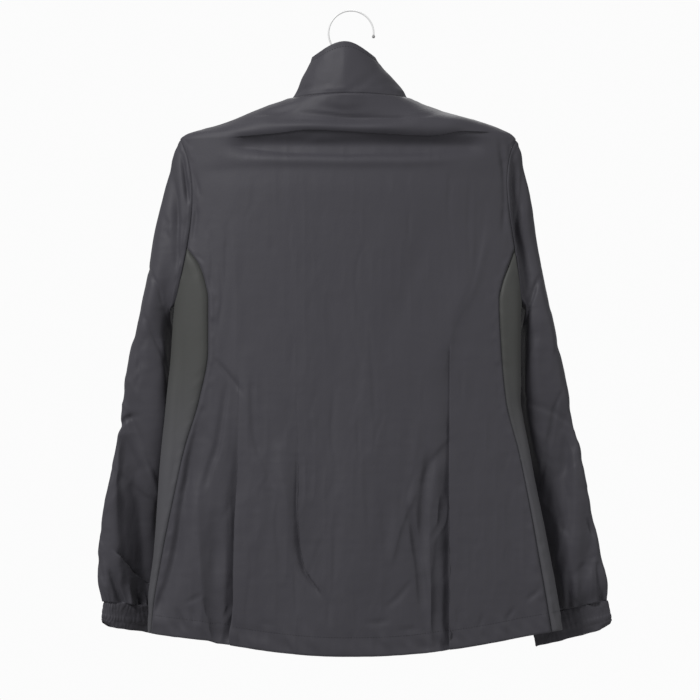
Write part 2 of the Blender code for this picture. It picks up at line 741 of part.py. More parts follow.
def through(points, fraction):
    """A smooth path through points, each reached at an even share of the way."""
    count = len(points) - 1
    place = min(max(fraction * count, 0), count - 1e-9)
    i = int(place)
    t = place - i
    p1, p2 = points[i], points[i + 1]
    p0 = points[i - 1] if i > 0 else 2 * p1 - p2
    p3 = points[i + 2] if i + 2 <= count else 2 * p2 - p1
    return 0.5 * (2 * p1 + (p2 - p0) * t + (2 * p0 - 5 * p1 + 4 * p2 - p3) * t * t
                  + (3 * p1 - p0 - 3 * p2 + p3) * t ** 3)


def build_sleeve(sign, rows, material):
    """One set-in sleeve, from the armhole to the cuff seam."""
    count = 2 * ARMHOLE_STEPS
    steps = list(range(count))
    edge = [armhole_at(step, sign) for step in steps]
    start = np.array([body_point(turn, level) for turn, level in edge])
    start_facing = np.array([body_facing(turn, level) for turn, level in edge])
    hoops = [start] + [hoop_points(row, sign, count) for row in rows]
    fan = hoops[1] - start
    roll = np.array([sign * SLEEVE_ROLL, 0, 0])
    hoops[1:1] = [start + 0.12 * fan + start_facing + roll * 0.7, start + 0.5 * fan + roll]
    stack = []
    shares = np.concatenate([[0, 0.05, 0.1, 0.15], np.linspace(0.2, 1, SLEEVE_RINGS - 3)])
    for share in shares:
        ring = np.array([through([hoop[j] for hoop in hoops], share) for j in range(count)])
        near_cuff = max(0.0, (share - 0.8) / 0.2)
        zigzag = np.where(np.arange(count) % 2 == 0, 1.0, -1.0)
        outward = ring - ring.mean(axis=0)
        ring = ring + unit(outward) * (zigzag * GATHER_DEPTH * near_cuff ** 1.5)[:, None]
        stack.append(ring)
    outer = np.array(stack)
    around = np.roll(outer, -1, axis=1) - np.roll(outer, 1, axis=1)
    down = np.gradient(outer, axis=0)
    outward = unit(np.cross(around, down))
    centre = outer.mean(axis=1, keepdims=True)
    flip = np.sign(np.sum(outward * (outer - centre), axis=-1).mean())
    outward *= flip
    outward[0] = unit(start_facing + outward[1])
    axis = hoop_axis(rows[-1], sign)
    outward[-1] = unit(outward[-1] - np.outer(outward[-1] @ axis, axis))
    inner = outer - outward * CLOTH
    if sign > 0:
        outer, inner = outer[:, ::-1], inner[:, ::-1]
    item = add_wall("sleeve_right" if sign > 0 else "sleeve_left", outer[::-1], inner[::-1],
                    material, closed=True)
    turn_outward(item)


def build_cuff(sign, rows, material):
    """One shirred cuff with its ribs."""
    count = CUFF_RIBS * 2
    zigzag = np.where(np.arange(count) % 2 == 0, 1.0, -1.0)[:, None] * RIB_DEPTH / 2
    outer, inner = [], []
    for share, spread_out in ((0.0, -0.6), (0.5, 0.8), (1.0, -0.6)):
        row = np.array(rows[0]) * (1 - share) + np.array(rows[1]) * share
        plan = hoop_points(row, sign, count)
        axis = hoop_axis(row, sign)
        normal = unit(np.cross(np.roll(plan, -1, axis=0) - np.roll(plan, 1, axis=0), axis))
        if np.sum(normal * (plan - plan.mean(axis=0))) < 0:
            normal = -normal
        hoop = plan + normal * (zigzag + spread_out)
        outer.append(hoop)
        inner.append(hoop - normal * CUFF_WALL)
    item = add_wall("cuff_right" if sign > 0 else "cuff_left", np.array(outer), np.array(inner),
                    material, closed=True)
    turn_outward(item)


def build_hanger(wire_material, tip_material):
    """One bent wire: hook, shank, arms under the shoulder seams and a bottom bar."""
    drop = CLOTH + SEAM_GAP + WIRE / 2 + 0.3
    centre = np.array([0.0, 0.0, WIRE / 2 - HOOK_RADIUS])
    path = []
    for i in range(25):
        angle = math.radians(HOOK_END + (HOOK_START - HOOK_END) * i / 24)
        path.append(centre + HOOK_RADIUS * np.array([math.cos(angle), 0, math.sin(angle)]))
    tip = path[0]
    for x, z in ((-16.5, -45.5), (-9.0, -53.5), (-3.0, -62.5), (-0.5, -73.0), (0.0, -92.0)):
        path.append(np.array([x, 0.0, z]))
    path.append(np.array([-4.0, 0.0, -99.0]))
    path.append(np.array([-20.0, 0.0, -105.0]))
    left_arm = hanger_arm(-1, drop)
    right_arm = hanger_arm(1, drop)
    path += left_arm
    path += hanger_corner(-1, left_arm[-1])
    path += hanger_corner(1, right_arm[-1])[::-1]
    path += right_arm[::-1]
    path.append(np.array([20.0, 0.0, -105.0]))
    path.append(np.array([4.2, 0.0, -100.5]))
    add_tube("hanger", path, WIRE, wire_material, False, 2)
    vertices, faces = [], []
    middle = tip + np.array([0.0, 0.0, -(TIP_RADIUS + SEAM_GAP)])
    for i in range(1, 6):
        for j in range(10):
            polar = math.pi * i / 6
            turn = 2 * math.pi * j / 10
            vertices.append(middle + TIP_RADIUS * np.array(
                [math.sin(polar) * math.cos(turn), math.sin(polar) * math.sin(turn), math.cos(polar)]))
    vertices.append(middle + np.array([0, 0, TIP_RADIUS]))
    vertices.append(middle - np.array([0, 0, TIP_RADIUS]))
    for i in range(4):
        for j in range(10):
            a, b = i * 10 + j, i * 10 + (j + 1) % 10
            faces.append((a, a + 10, b + 10, b))
    for j in range(10):
        faces.append((50, j, (j + 1) % 10))
        faces.append((51, 40 + (j + 1) % 10, 40 + j))
    item = add_mesh("hook_tip", vertices, faces, tip_material)
    turn_outward(item)


def hanger_arm(sign, drop):
    """Points of one arm, close under the shoulder seam."""
    points = []
    for level in (-108.0, -113.0, -119.0, -126.0, -132.0, -138.0, -142.0):
        top = body_point(float(sign), level)
        out = facing(plain_point, float(sign), level)
        points.append(top - out * drop)
    kept = [p for p in points if abs(p[0]) < HANGER_HALF]
    for p in kept:
        p[1] = 0.0
    return kept


def hanger_corner(sign, last):
    """The round end of an arm, down to the bottom bar."""
    radius = BAR_DROP / 2
    start = math.radians(66)
    middle = last - radius * np.array([sign * math.cos(start), 0, math.sin(start)])
    bend = []
    for degrees in (36, 6, -26, -58, -90):
        angle = math.radians(degrees)
        bend.append(middle + radius * np.array([sign * math.cos(angle), 0, math.sin(angle)]))
    return bend


def main():
    """Build every piece of the jacket and its hanger."""
    for item in list(bpy.data.objects):
        bpy.data.objects.remove(item, do_unlink=True)
    shell = make_material("shell_nylon", (0.055, 0.053, 0.062), 0.55)
    side_cloth = make_material("side_nylon", (0.062, 0.064, 0.062), 0.6)
    cuff_cloth = make_material("cuff_shirring", (0.045, 0.043, 0.05), 0.7)
    tape = make_material("zip_tape_black", (0.02, 0.02, 0.022), 0.8)
    teeth = make_material("zip_teeth_black", (0.03, 0.03, 0.032), 0.4)
    metal = make_material("slider_metal", (0.18, 0.18, 0.19), 0.35, 1.0)
    wire = make_material("hanger_wire", (0.35, 0.34, 0.33), 0.3, 1.0)
    tip = make_material("hook_tip_black", (0.02, 0.02, 0.02), 0.5)
    back_top = build_back(shell)
    front_top = {sign: build_front(sign, shell) for sign in (1, -1)}
    for sign in (1, -1):
        build_side(sign, side_cloth)
    build_collar(front_top[-1], back_top, front_top[1], shell)
    build_sleeve(1, RIGHT_SLEEVE, shell)
    build_sleeve(-1, LEFT_SLEEVE, shell)
    build_cuff(1, RIGHT_CUFF, cuff_cloth)
    build_cuff(-1, LEFT_CUFF, cuff_cloth)
    pivot = build_zip(tape, teeth, metal)
    build_hanger(wire, tip)
    print("pull pivot, m:", [round(float(v) * MM, 5) for v in pivot])


if __name__ == "__main__":
    main()
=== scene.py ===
"""Dresses a packed windbreaker jacket on its wire hanger for rendering.

Sizes are in millimetres, and meshes are written in metres. +Z is up, -Y points out of the
jacket's back, and +X is the wearer's right. The origin is the inner top of the hanger's hook.

The body and collar are one tube of rings. A point of it has a turn, from -2 to 2 round the ring
(0 the centre of the back, 1 the right side, -1 the left side, 2 and -2 the zip), and a level,
the height of its ring at the side of the body.
"""

import logging
import math
from dataclasses import dataclass, field
from enum import Enum
from typing import Callable, Iterable, Sequence

import bpy
import numpy as np
from bpy.types import Material, Node, NodeSocket, NodeTree, Object
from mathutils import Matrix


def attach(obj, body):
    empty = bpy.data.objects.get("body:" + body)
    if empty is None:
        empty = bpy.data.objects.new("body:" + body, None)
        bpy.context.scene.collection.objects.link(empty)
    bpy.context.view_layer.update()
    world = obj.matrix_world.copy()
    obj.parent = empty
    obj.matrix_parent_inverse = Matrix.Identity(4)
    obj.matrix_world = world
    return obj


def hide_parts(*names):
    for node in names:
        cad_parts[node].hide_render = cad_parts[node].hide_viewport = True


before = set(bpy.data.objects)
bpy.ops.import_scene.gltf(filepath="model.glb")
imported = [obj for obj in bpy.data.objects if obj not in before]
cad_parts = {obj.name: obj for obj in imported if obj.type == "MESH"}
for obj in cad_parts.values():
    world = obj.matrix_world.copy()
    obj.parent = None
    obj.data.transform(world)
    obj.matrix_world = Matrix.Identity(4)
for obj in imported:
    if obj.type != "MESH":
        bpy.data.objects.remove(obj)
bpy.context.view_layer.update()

LOG = logging.getLogger("windbreaker")
Array = np.ndarray
Pair = tuple[float, float]
Triple = tuple[float, float, float]
Line = tuple[Pair, ...]
MM = 0.001
BODY = "jacket"
PULL_BODY = "pull_tab"

# Main heights, at the side of the body
COLLAR_TOP = -54.0
NECK = -101.0
SHOULDER_TIP = -150.0
UNDERARM = -345.0
HEM = -721.0
SHOULDER_FOLD = -142.0

VIEW_DISTANCE = 3000.0  # creases are placed as seen from here, level with the middle
VIEW_HEIGHT = -396.0
CLOTH_SHOWN = 0.9       # thickness of the shell cloth as it is drawn
HEM_CASING = 22.0       # from the lower edge up to the row that holds the turned hem
ZIP_HALF_OPENING = 6.5  # from the centre of the zip to the edge of a front
ZIP_CALM = 14.0         # from the zip to where the hem is free to ripple
ZIP_STITCHES = 3.0      # from the edge of a front to its row of stitches
COLLAR_STITCHES = 6.0   # from the collar's upper edge to its row of stitches
STITCH_LIFT = 0.1       # how far a row of stitches stands off its cloth
SEAM_EASE = 6.0         # from a seam to where the cloth is free of it
SEAM_LINE = 1.3         # half-width of the dip along a seam
SEAM_DEPTH = 3.0        # how far a sewn edge goes in
PUCKER = 8.5            # size of the puckers beside a seam
BACK_HEM = 480.0 * 20.0  # area of the back's turned hem
HOOP_START = 72.0       # degrees from a hoop's outer end to its first point


class Side(Enum):
    """The wearer's side, by its sign along X."""

    LEFT = -1
    RIGHT = 1

    @property
    def word(self) -> str:
        """The side as it is written in a node's name."""
        return self.name.lower()


class Face(Enum):
    """Which way a crease looks."""

    BACK = -1
    FRONT = 1


class Table:
    """A short table of numbers with named columns."""

    def __init__(self, names: Sequence[str], rows: Sequence[Sequence[float]]) -> None:
        """Keep the columns by name.

        Args:
            names: column names, the first of which orders the rows.
            rows: the numbers, row by row.
        """
        self.columns = {name: np.array([row[i] for row in rows], float)
                        for i, name in enumerate(names)}
        self.key = names[0]

    def value(self, name: str, at: Array) -> Array:
        """Read one column between the rows.

        Args:
            name: the column.
            at: values of the key column.

        Returns:
            The column's values there.
        """
        return smooth_curve(np.asarray(at, float), self.columns[self.key], self.columns[name])


def smooth_curve(x: Array, known_x: Array, known_y: Array) -> Array:
    """Read a curve through known points that never overshoots between two of them.

    Args:
        x: where to read it.
        known_x: rising places of the known points.
        known_y: their values.

    Returns:
        The curve's values at x.
    """
    step = np.diff(known_x)
    slope = np.diff(known_y) / step
    tangent = np.zeros(len(known_x))
    for i in range(1, len(known_x) - 1):
        if slope[i - 1] * slope[i] > 0:
            w1 = 2 * step[i] + step[i - 1]
            w2 = step[i] + 2 * step[i - 1]
            tangent[i] = (w1 + w2) / (w1 / slope[i - 1] + w2 / slope[i])
    tangent[0] = slope[0]
    tangent[-1] = slope[-1]
    i = np.clip(np.searchsorted(known_x, x) - 1, 0, len(step) - 1)
    h = step[i]
    t = np.clip((x - known_x[i]) / h, 0.0, 1.0)
    return (known_y[i] * (1 + 2 * t) * (1 - t) ** 2 + tangent[i] * h * t * (1 - t) ** 2
            + known_y[i + 1] * t * t * (3 - 2 * t) - tangent[i + 1] * h * t * t * (1 - t))


def unit(vectors: Array) -> Array:
    """Scale vectors to length one."""
    return vectors / np.maximum(np.linalg.norm(vectors, axis=-1, keepdims=True), 1e-9)


def ease(low: float, high: float, x: Array) -> Array:
    """Rise smoothly from 0 at low to 1 at high, which may also be the smaller one."""
    t = np.clip((x - low) / (high - low), 0, 1)
    return t * t * (3 - 2 * t)


def bell(x: Array, width: float) -> Array:
    """Fall smoothly from 1 at zero to almost 0 at twice the width."""
    return np.exp(-(x / width) ** 2)


def through(points: Array, fraction: float) -> Array:
    """Follow a smooth path through points, each reached at an even share of the way.

    Args:
        points: the points, or arrays of points, along the first axis.
        fraction: the share of the way, from 0 to 1.

    Returns:
        The point, or array of points, there.
    """
    count = len(points) - 1
    place = min(max(fraction * count, 0), count - 1e-9)
    i = int(place)
    t = place - i
    p1, p2 = points[i], points[i + 1]
    p0 = points[i - 1] if i > 0 else 2 * p1 - p2
    p3 = points[i + 2] if i + 2 <= count else 2 * p2 - p1
    return 0.5 * (2 * p1 + (p2 - p0) * t + (2 * p0 - 5 * p1 + 4 * p2 - p3) * t * t
                  + (3 * p1 - p0 - 3 * p2 + p3) * t ** 3)


# ---- cut and form

# side: height at the side; left, mid, right: ends and centre line along X; back, front: depth
# at the centre line; back_z, front_z: height of the centre line; flat: how flat the ring is
# across the middle; nose: how blunt it is at the side
RING_COLUMNS = ("side", "left", "mid", "right", "back", "back_z", "front", "front_z", "flat",
                "nose")
RINGS = (
    (HEM, -238, 2, 246, 50, -749, 46, -735, 0.62, 0.50),
    (-690, -238, 2, 241.5, 51, -710, 48, -700, 0.62, 0.52),
    (-630, -231, 1, 230.5, 52, -640, 50, -636, 0.62, 0.55),
    (-571, -226, 0, 219.5, 52, -574, 50, -573, 0.62, 0.55),
    (-513, -221, 0, 209, 51, -513, 49, -513, 0.62, 0.55),
    (-454, -214.5, 0, 199, 50, -454, 48, -456, 0.62, 0.55),
    (-396, -209, 0, 198, 49, -396, 47, -402, 0.62, 0.55),
    (UNDERARM, -206, 0, 198.5, 48, -345, 47, -360, 0.62, 0.55),
    (-290, -204.5, 0, 198, 47, -290, 47, -314, 0.62, 0.52),
    (-240, -203.5, 0, 197.5, 46, -240, 47, -272, 0.62, 0.48),
    (-190, -202.5, 0, 196.5, 45, -190, 47, -232, 0.62, 0.42),
    (SHOULDER_TIP, -200, 0, 193, 43, -150, 48, -202, 0.62, 0.36),
    (-144, -193, 0, 188, 43, -144, 48, -197.5, 0.62, 0.35),
    (-138, -173.5, 0, 176, 43, -138, 49, -193, 0.62, 0.35),
    (-132, -152, 0, 160, 43, -132, 50, -188.5, 0.62, 0.35),
    (-126, -136, 0, 140, 43, -126.5, 51, -184, 0.62, 0.36),
    (-119, -119, 0, 113.5, 43, -119.5, 53, -178, 0.60, 0.38),
    (-112, -101, 0, 93, 42, -112, 55, -172.5, 0.58, 0.42),
    (-106, -84, 0, 78, 41, -105, 58, -168, 0.56, 0.48),
    (NECK, -68.5, -1, 66, 40, -99, 60, -164, 0.54, 0.52),
    (-92, -63, -2, 61.5, 39, -90, 60, -155, 0.54, 0.54),
    (-79, -58, -4, 50.5, 37, -73, 58, -138, 0.54, 0.55),
    (-66, -51, -6, 38, 34, -54, 55, -119, 0.54, 0.55),
    (COLLAR_TOP, -45.5, -7, 29, 31, -38.5, 52, -102, 0.54, 0.55),
)

# Seams of the side panels: distance from the centre line by height
SEAM_COLUMNS = ("side", "left_back", "right_back", "left_front", "right_front")
SEAMS = (
    (HEM, 234.5, 233, 205, 214),
    (-690, 231, 228, 202, 207),
    (-630, 220, 217.5, 194, 197),
    (-571, 207.5, 207, 184, 186),
    (-513, 194.5, 195, 174, 176),
    (-454, 176.5, 180, 164, 164),
    (-396, 166, 174.5, 159, 157),
    (-338, 166, 172, 160, 156),
    (-318, 169.5, 176, 162, 159),
    (-298, 176.5, 183.5, 165, 164),
)
JUNCTION = 0.6          # how far down the armhole's half turn the side panel's seams meet it


@dataclass(frozen=True)
class Armhole:
    """The opening that a sleeve is set into.

    back, front: reach towards the back and the front; back_high, front_high: how much further
    the upper half reaches than the lower.
    """

    back: float
    back_high: float
    front: float
    front_high: float


ARMHOLES = {
    Side.RIGHT: Armhole(15.0, 0.45, 25.0, -0.1),
    Side.LEFT: Armhole(18.0, 0.15, 25.0, -0.1),
}

# The largest folds, which the solids have too, each a soft ridge or trough along a line: side,
# x1, z1, x2, z2, width, push, fade
FOLDS = (
    ("back", -100, -131, 115, -132, 10, 3, 45),
    ("back", -120, -158, 135, -159, 10, -6.5, 35),
    ("back", -95, -173, 95, -175, 9, 1, 45),
    ("back", -140, -190, 150, -192, 14, -1, 55),
    ("front", -96, -260, -110, -760, 17, 5, 120),
    ("front", -72, -240, -80, -760, 15, -4.5, 120),
    ("front", 104, -300, 120, -760, 17, 5, 120),
    ("front", 78, -240, 88, -760, 15, -4.5, 120),
)


# How much squarer than a smooth tube the back hangs beside each side
SQUARED = {Side.LEFT: 6.0, Side.RIGHT: 16.0}
LOW_CORNER = 4.5        # how far the hem sags at the left side


class BodyForm:
    """The tube of rings that the body and the collar are cut from."""

    def __init__(self) -> None:
        """Read the tables."""
        self.rings = Table(RING_COLUMNS, RINGS)
        self.seams = Table(SEAM_COLUMNS, SEAMS)

    def plain(self, turn: Array, level: Array) -> Array:
        """Points of the smooth tube.

        Args:
            turn: places round the rings.
            level: heights of the rings at the side.

        Returns:
            Points, along one more axis.
        """
        turn = np.asarray(turn, float)
        level = np.asarray(level, float) + turn * 0
        turn = turn + level * 0
        q = np.abs(turn)
        back = q <= 1
        t = np.where(back, q, 2 - q)
        u = 1 - t
        ring = self.rings.value
        reach = np.where(turn >= 0, ring("right", level), ring("left", level))
        along = 3 * u * u * t * ring("flat", level) + 3 * u * t * t + t ** 3
        x = ring("mid", level) * (1 - along) + reach * along
        deep = u ** 3 + 3 * u * u * t + 3 * u * t * t * ring("nose", level)
        y = np.where(back, -ring("back", level), ring("front", level)) * deep
        lift = (u * u * (1 + 2 * t)) ** 1.5
        centre_z = np.where(back, ring("back_z", level), ring("front_z", level))
        return np.stack([x, y, level + (centre_z - level) * lift], axis=-1)

    def facing(self, surface: Callable, turn: Array, level: Array, dt: float = 0.01,
               dl: float = 1.5) -> Array:
        """Outward directions of a surface given as a function of turn and level."""
        level = np.asarray(level, float)
        low = np.maximum(level - dl, HEM)
        high = np.minimum(level + dl, COLLAR_TOP)
        across = surface(turn + dt, level) - surface(turn - dt, level)
        return unit(np.cross(across, surface(turn, high) - surface(turn, low)))

    def fold_push(self, point: Array, turn: Array) -> Array:
        """How far the largest folds push the cloth out or in."""
        push = np.zeros(point.shape[:-1])
        on_back = np.abs(turn) < 1
        for side, x1, z1, x2, z2, width, height, fade in FOLDS:
            dx, dz = x2 - x1, z2 - z1
            length = math.hypot(dx, dz)
            along = ((point[..., 0] - x1) * dx + (point[..., 2] - z1) * dz) / length
            off = ((point[..., 0] - x1) * dz - (point[..., 2] - z1) * dx) / length
            past = np.maximum(np.maximum(-along, along - length), 0)
            shape = np.exp(-(off / width) ** 2 - (past / fade * 2) ** 2)
            push += np.where(on_back == (side == "back"), height * shape, 0)
        edge = np.clip(np.abs(np.abs(turn) - 1) / 0.35, 0, 1)
        return push * edge * edge * (3 - 2 * edge)

    def point(self, turn: Array, level: Array) -> Array:
        """Points of the tube with its largest folds."""
        plain = self.plain(turn, level)
        turn = np.asarray(turn) + plain[..., 0] * 0
        level = np.asarray(level) + turn * 0
        push = self.fold_push(plain, turn)
        point = plain + self.facing(self.plain, turn, level) * push[..., None]
        side = np.abs(turn)
        square = np.where(side <= 1, ease(0.3, 0.95, side) * (1 - ease(0.95, 1.0, side)), 0)
        square = square * np.where(turn > 0, SQUARED[Side.RIGHT], SQUARED[Side.LEFT])
        point[..., 1] -= square * ease(-190.0, -380.0, level)
        sag = bell(point[..., 0] + 232.0, 48.0) * ease(-600.0, HEM, level)
        point[..., 2] -= LOW_CORNER * sag
        return point

    def out(self, turn: Array, level: Array) -> Array:
        """Outward directions of the tube with its largest folds."""
        return self.facing(self.point, turn, level, 0.012, 2.0)

    def turn_at_x(self, distance: Array, level: Array, side: Side,
                  front: bool) -> Array:
        """Turns at which rings are a distance from X = 0 on one side.

        Args:
            distance: the distances.
            level: the rings.
            side: which side.
            front: on the front half of the ring, not the back half.

        Returns:
            The turns.
        """
        distance, level = np.atleast_1d(distance), np.atleast_1d(level)
        fine = np.linspace(0, 1, 301)
        path = (2 - fine if front else fine) * side.value
        across = self.plain(path[None, :], level[:, None])[..., 0] * side.value
        return np.array([np.interp(d, a, path) for d, a in zip(distance + level * 0, across)])

    def turn_at_depth(self, depth: Array, level: Array, side: Side) -> Array:
        """Turns at which rings reach a depth along Y beside one side."""
        depth, level = np.atleast_1d(depth), np.atleast_1d(level)
        fine = np.linspace(0.25, 1.75, 601)
        y = self.plain((fine * side.value)[None, :], level[:, None])[..., 1]
        return np.array([np.interp(d, a, fine) for d, a in zip(depth, y)]) * side.value

    def armhole(self, share: Array, side: Side) -> tuple[Array, Array]:
        """Turn and level of the armhole's edge.

        Args:
            share: the way round, from 0 at the shoulder tip down the back to 1 at the
                underarm, and up the front to 2.
            side: which armhole.

        Returns:
            Turns and levels.
        """
        share = np.atleast_1d(np.asarray(share, float))
        b = np.pi * share
        hole = ARMHOLES[side]
        level = SHOULDER_TIP + (UNDERARM - SHOULDER_TIP) * (1 - np.cos(b)) / 2
        back = -hole.back * np.sin(b) * (1 + hole.back_high * np.cos(b))
        front = -hole.front * np.sin(b) * (1 + hole.front_high * np.cos(b))
        return self.turn_at_depth(np.where(share <= 1, back, front), level, side), level

    def seam_turn(self, side: Side, front: bool, level: Array) -> Array:
        """Turns of a side panel's seam at heights up to where it meets the armhole."""
        name = f"{side.word}_{'front' if front else 'back'}"
        end_turn, end_level = self.armhole(2 - JUNCTION if front else JUNCTION, side)
        end_x = self.plain(end_turn, end_level)[..., 0] * side.value
        heights = np.append(self.seams.columns["side"], end_level)
        places = np.append(self.seams.columns[name], end_x)
        return self.turn_at_x(smooth_curve(np.atleast_1d(level), heights, places), level, side,
                              front)

    def panel_edge(self, side: Side, front: bool, level: Array) -> Array:
        """Turns of a back or front panel's outer edge, by height.

        It follows the side panel's seam, then the armhole, then the shoulder seam.
        """
        join = float(self.armhole(JUNCTION, side)[1][0])
        share = np.arccos(np.clip(1 - 2 * (level - SHOULDER_TIP) / (UNDERARM - SHOULDER_TIP),
                                  -1, 1)) / np.pi
        on_hole = self.armhole(2 - share if front else share, side)[0]
        on_seam = self.seam_turn(side, front, np.minimum(level, join))
        edge = np.where(level <= join, on_seam, on_hole)
        return np.where(level >= SHOULDER_TIP, float(side.value), edge)

    def spread(self, first: Array, last: Array, level: Array, cells: int,
               crowded: Sequence[float] = ()) -> Array:
        """Turns of points between two edges, row by row.

        Args:
            first, last: turns of the edges.
            level: the rows.
            cells: how many cells go across.
            crowded: places along X where they are closer together, as at a sharp fold.

        Returns:
            The turns.
        """
        fraction = np.linspace(0, 1, 241)
        turns = first[:, None] + (last - first)[:, None] * fraction
        points = self.plain(turns, level[:, None])
        step = np.linalg.norm(np.diff(points, axis=1), axis=2)
        for place in crowded:
            step = step * (1 + 1.5 * bell(points[:, 1:, 0] - place, 9.0))
        length = np.cumsum(step, axis=1)
        length = np.concatenate([np.zeros((len(length), 1)), length], axis=1)
        shares = np.array([np.interp(np.linspace(0, a[-1], cells + 1), a, fraction)
                           for a in length])
        return first[:, None] + (last - first)[:, None] * shares

    def strip(self, across: float, level: Array, offset: float) -> Array:
        """Points beside the zip's centre line, moved out of the front by an offset."""
        side = Side.RIGHT if across >= 0 else Side.LEFT
        middle = self.rings.value("mid", level)
        if abs(across) < 1e-6:
            turn = np.full(len(level), 2.0)
        else:
            turn = self.turn_at_x(middle * side.value + abs(across), level, side, True)
        plain = self.plain(turn, level)
        ahead = self.facing(self.plain, np.full(len(level), 1.99), level)
        ahead[..., 0] = 0
        return plain + unit(ahead) * (self.fold_push(plain, turn)[..., None] + offset)


FORM = BodyForm()


# ---- creases


@dataclass
class Measured:
    """Places of cloth as measured from a line.

    near: which ones are close to it; off: their distance to its plus side; place, share: how
    far along it they are; past: how far beyond its ends; across: direction to the plus side.
    """

    near: Array
    off: Array
    place: Array
    share: Array
    past: Array
    across: Array


@dataclass(frozen=True)
class FoldLine:
    """A line on the cloth, seen square on."""

    line: Line

    def path(self) -> Array:
        """The line as a smooth run of points."""
        points = np.array(self.line, float)
        if len(points) < 3:
            return points
        return np.array([through(points, t)
                         for t in np.linspace(0, 1, 5 * (len(points) - 1) + 1)])

    def measure(self, x: Array, z: Array, reach: float) -> Measured | None:
        """Measure the places that lie within a reach of the line.

        Args:
            x, z: the places.
            reach: how far from the line they may be.

        Returns:
            What was measured, or None where no place is near.
        """
        line = self.path()
        near = ((x > line[:, 0].min() - reach) & (x < line[:, 0].max() + reach)
                & (z > line[:, 1].min() - reach) & (z < line[:, 1].max() + reach))
        if not near.any():
            return None
        px, pz = x[near], z[near]
        step = np.diff(line, axis=0)
        length = np.linalg.norm(step, axis=1)
        start = np.concatenate([[0], np.cumsum(length)])
        best = np.full(px.shape, 1e9)
        off, place, past = np.zeros(px.shape), np.zeros(px.shape), np.zeros(px.shape)
        across = np.zeros((2, *px.shape))
        last = len(step) - 1
        for i, ((dx, dz), size) in enumerate(zip(step, length)):
            along = ((px - line[i, 0]) * dx + (pz - line[i, 1]) * dz) / size
            side = ((pz - line[i, 1]) * dx - (px - line[i, 0]) * dz) / size
            beyond = np.maximum(np.maximum(-along, along - size), 0)
            away = np.hypot(side, beyond)
            take = away < best
            best = np.where(take, away, best)
            at_end = ((along < 0) & (i == 0)) | ((along > size) & (i == last))
            off = np.where(take, np.where(at_end, side, np.sign(side) * away), off)
            past = np.where(take, np.where(at_end, beyond, 0), past)
            place = np.where(take, start[i] + np.clip(along, 0, size), place)
            for k, part in enumerate((-dz / size, dx / size)):
                across[k] = np.where(take, part, across[k])
        return Measured(near, off, place, place / start[-1], past, across)


@dataclass(frozen=True)
class Crease:
    """A ridge or trough along a line, seen from the back or from the front.

    minus, plus: its half-width on the left and the right of a falling crease, or below and
    above one that runs to the right; height: above the cloth, or below it if negative; fade:
    how far its ends run out; line: the points it runs through.
    """

    minus: float
    plus: float
    height: float
    fade: float
    line: Line

    @classmethod
    def read(cls, row: tuple[float, ...]) -> "Crease":
        """Read a row of minus, plus, height and fade, then x and z of every point."""
        return cls(*row[:4], tuple(zip(row[4::2], row[5::2])))

    def push(self, x: Array, z: Array) -> tuple[Array, ...]:
        """How far the crease moves the cloth outwards, along X and along Z."""
        total = np.zeros(x.shape)
        found = FoldLine(self.line).measure(x, z, 2.6 * max(self.minus, self.plus)
                                            + 1.6 * self.fade)
        if found:
            width = np.where(found.off < 0, self.minus, self.plus)
            swell = 1 - 0.45 * np.abs(2 * found.share - 1) ** 3
            swell = swell * (1 + 0.16 * np.sin(found.place / 13.0 + self.line[0][0]))
            total[found.near] = (self.height * swell * bell(found.off, width)
                                 * np.exp(-(found.past / self.fade * 1.6) ** 2))
        return total, total * 0, total * 0


@dataclass(frozen=True)
class Lap:
    """Cloth folded over along a line, so that one side covers a strip of the other.

    low, reach: how deep the covered side goes, and how far from the edge; narrow: the share of
    its reach that is left at the end; high, over: height and reach of the covering side, which
    is the plus side; tuck: how far it covers; begin: the share of all this at the start; fade,
    line: as for a crease.
    """

    low: float
    reach: float
    narrow: float
    high: float
    over: float
    tuck: float
    begin: float
    fade: float
    line: Line

    def push(self, x: Array, z: Array) -> tuple[Array, ...]:
        """How far the fold moves the cloth outwards, along X and along Z."""
        out, right, up = np.zeros(x.shape), np.zeros(x.shape), np.zeros(x.shape)
        found = FoldLine(self.line).measure(x, z, 2.6 * max(self.reach, self.over) + self.fade)
        if found:
            strength = self.begin + (1 - self.begin) * ease(0.0, 0.7, found.share)
            strength = strength * (1 + 0.1 * np.sin(found.place / 11.0))
            strength = strength * np.exp(-(found.past / self.fade * 1.6) ** 2)
            reach = self.reach * (1 + (self.narrow - 1) * found.share)
            step = 0.5 + 0.5 * np.tanh(found.off / 0.6)
            covered = -self.low * bell(found.off, reach)
            covering = self.high * bell(found.off, self.over)
            out[found.near] = strength * (covered * (1 - step) + covering * step)
            slide = -self.tuck * (2 * step - 1) * np.exp(-(found.off / (3 * self.tuck)) ** 2)
            right[found.near] = strength * slide * found.across[0]
            up[found.near] = strength * slide * found.across[1]
        return out, right, up


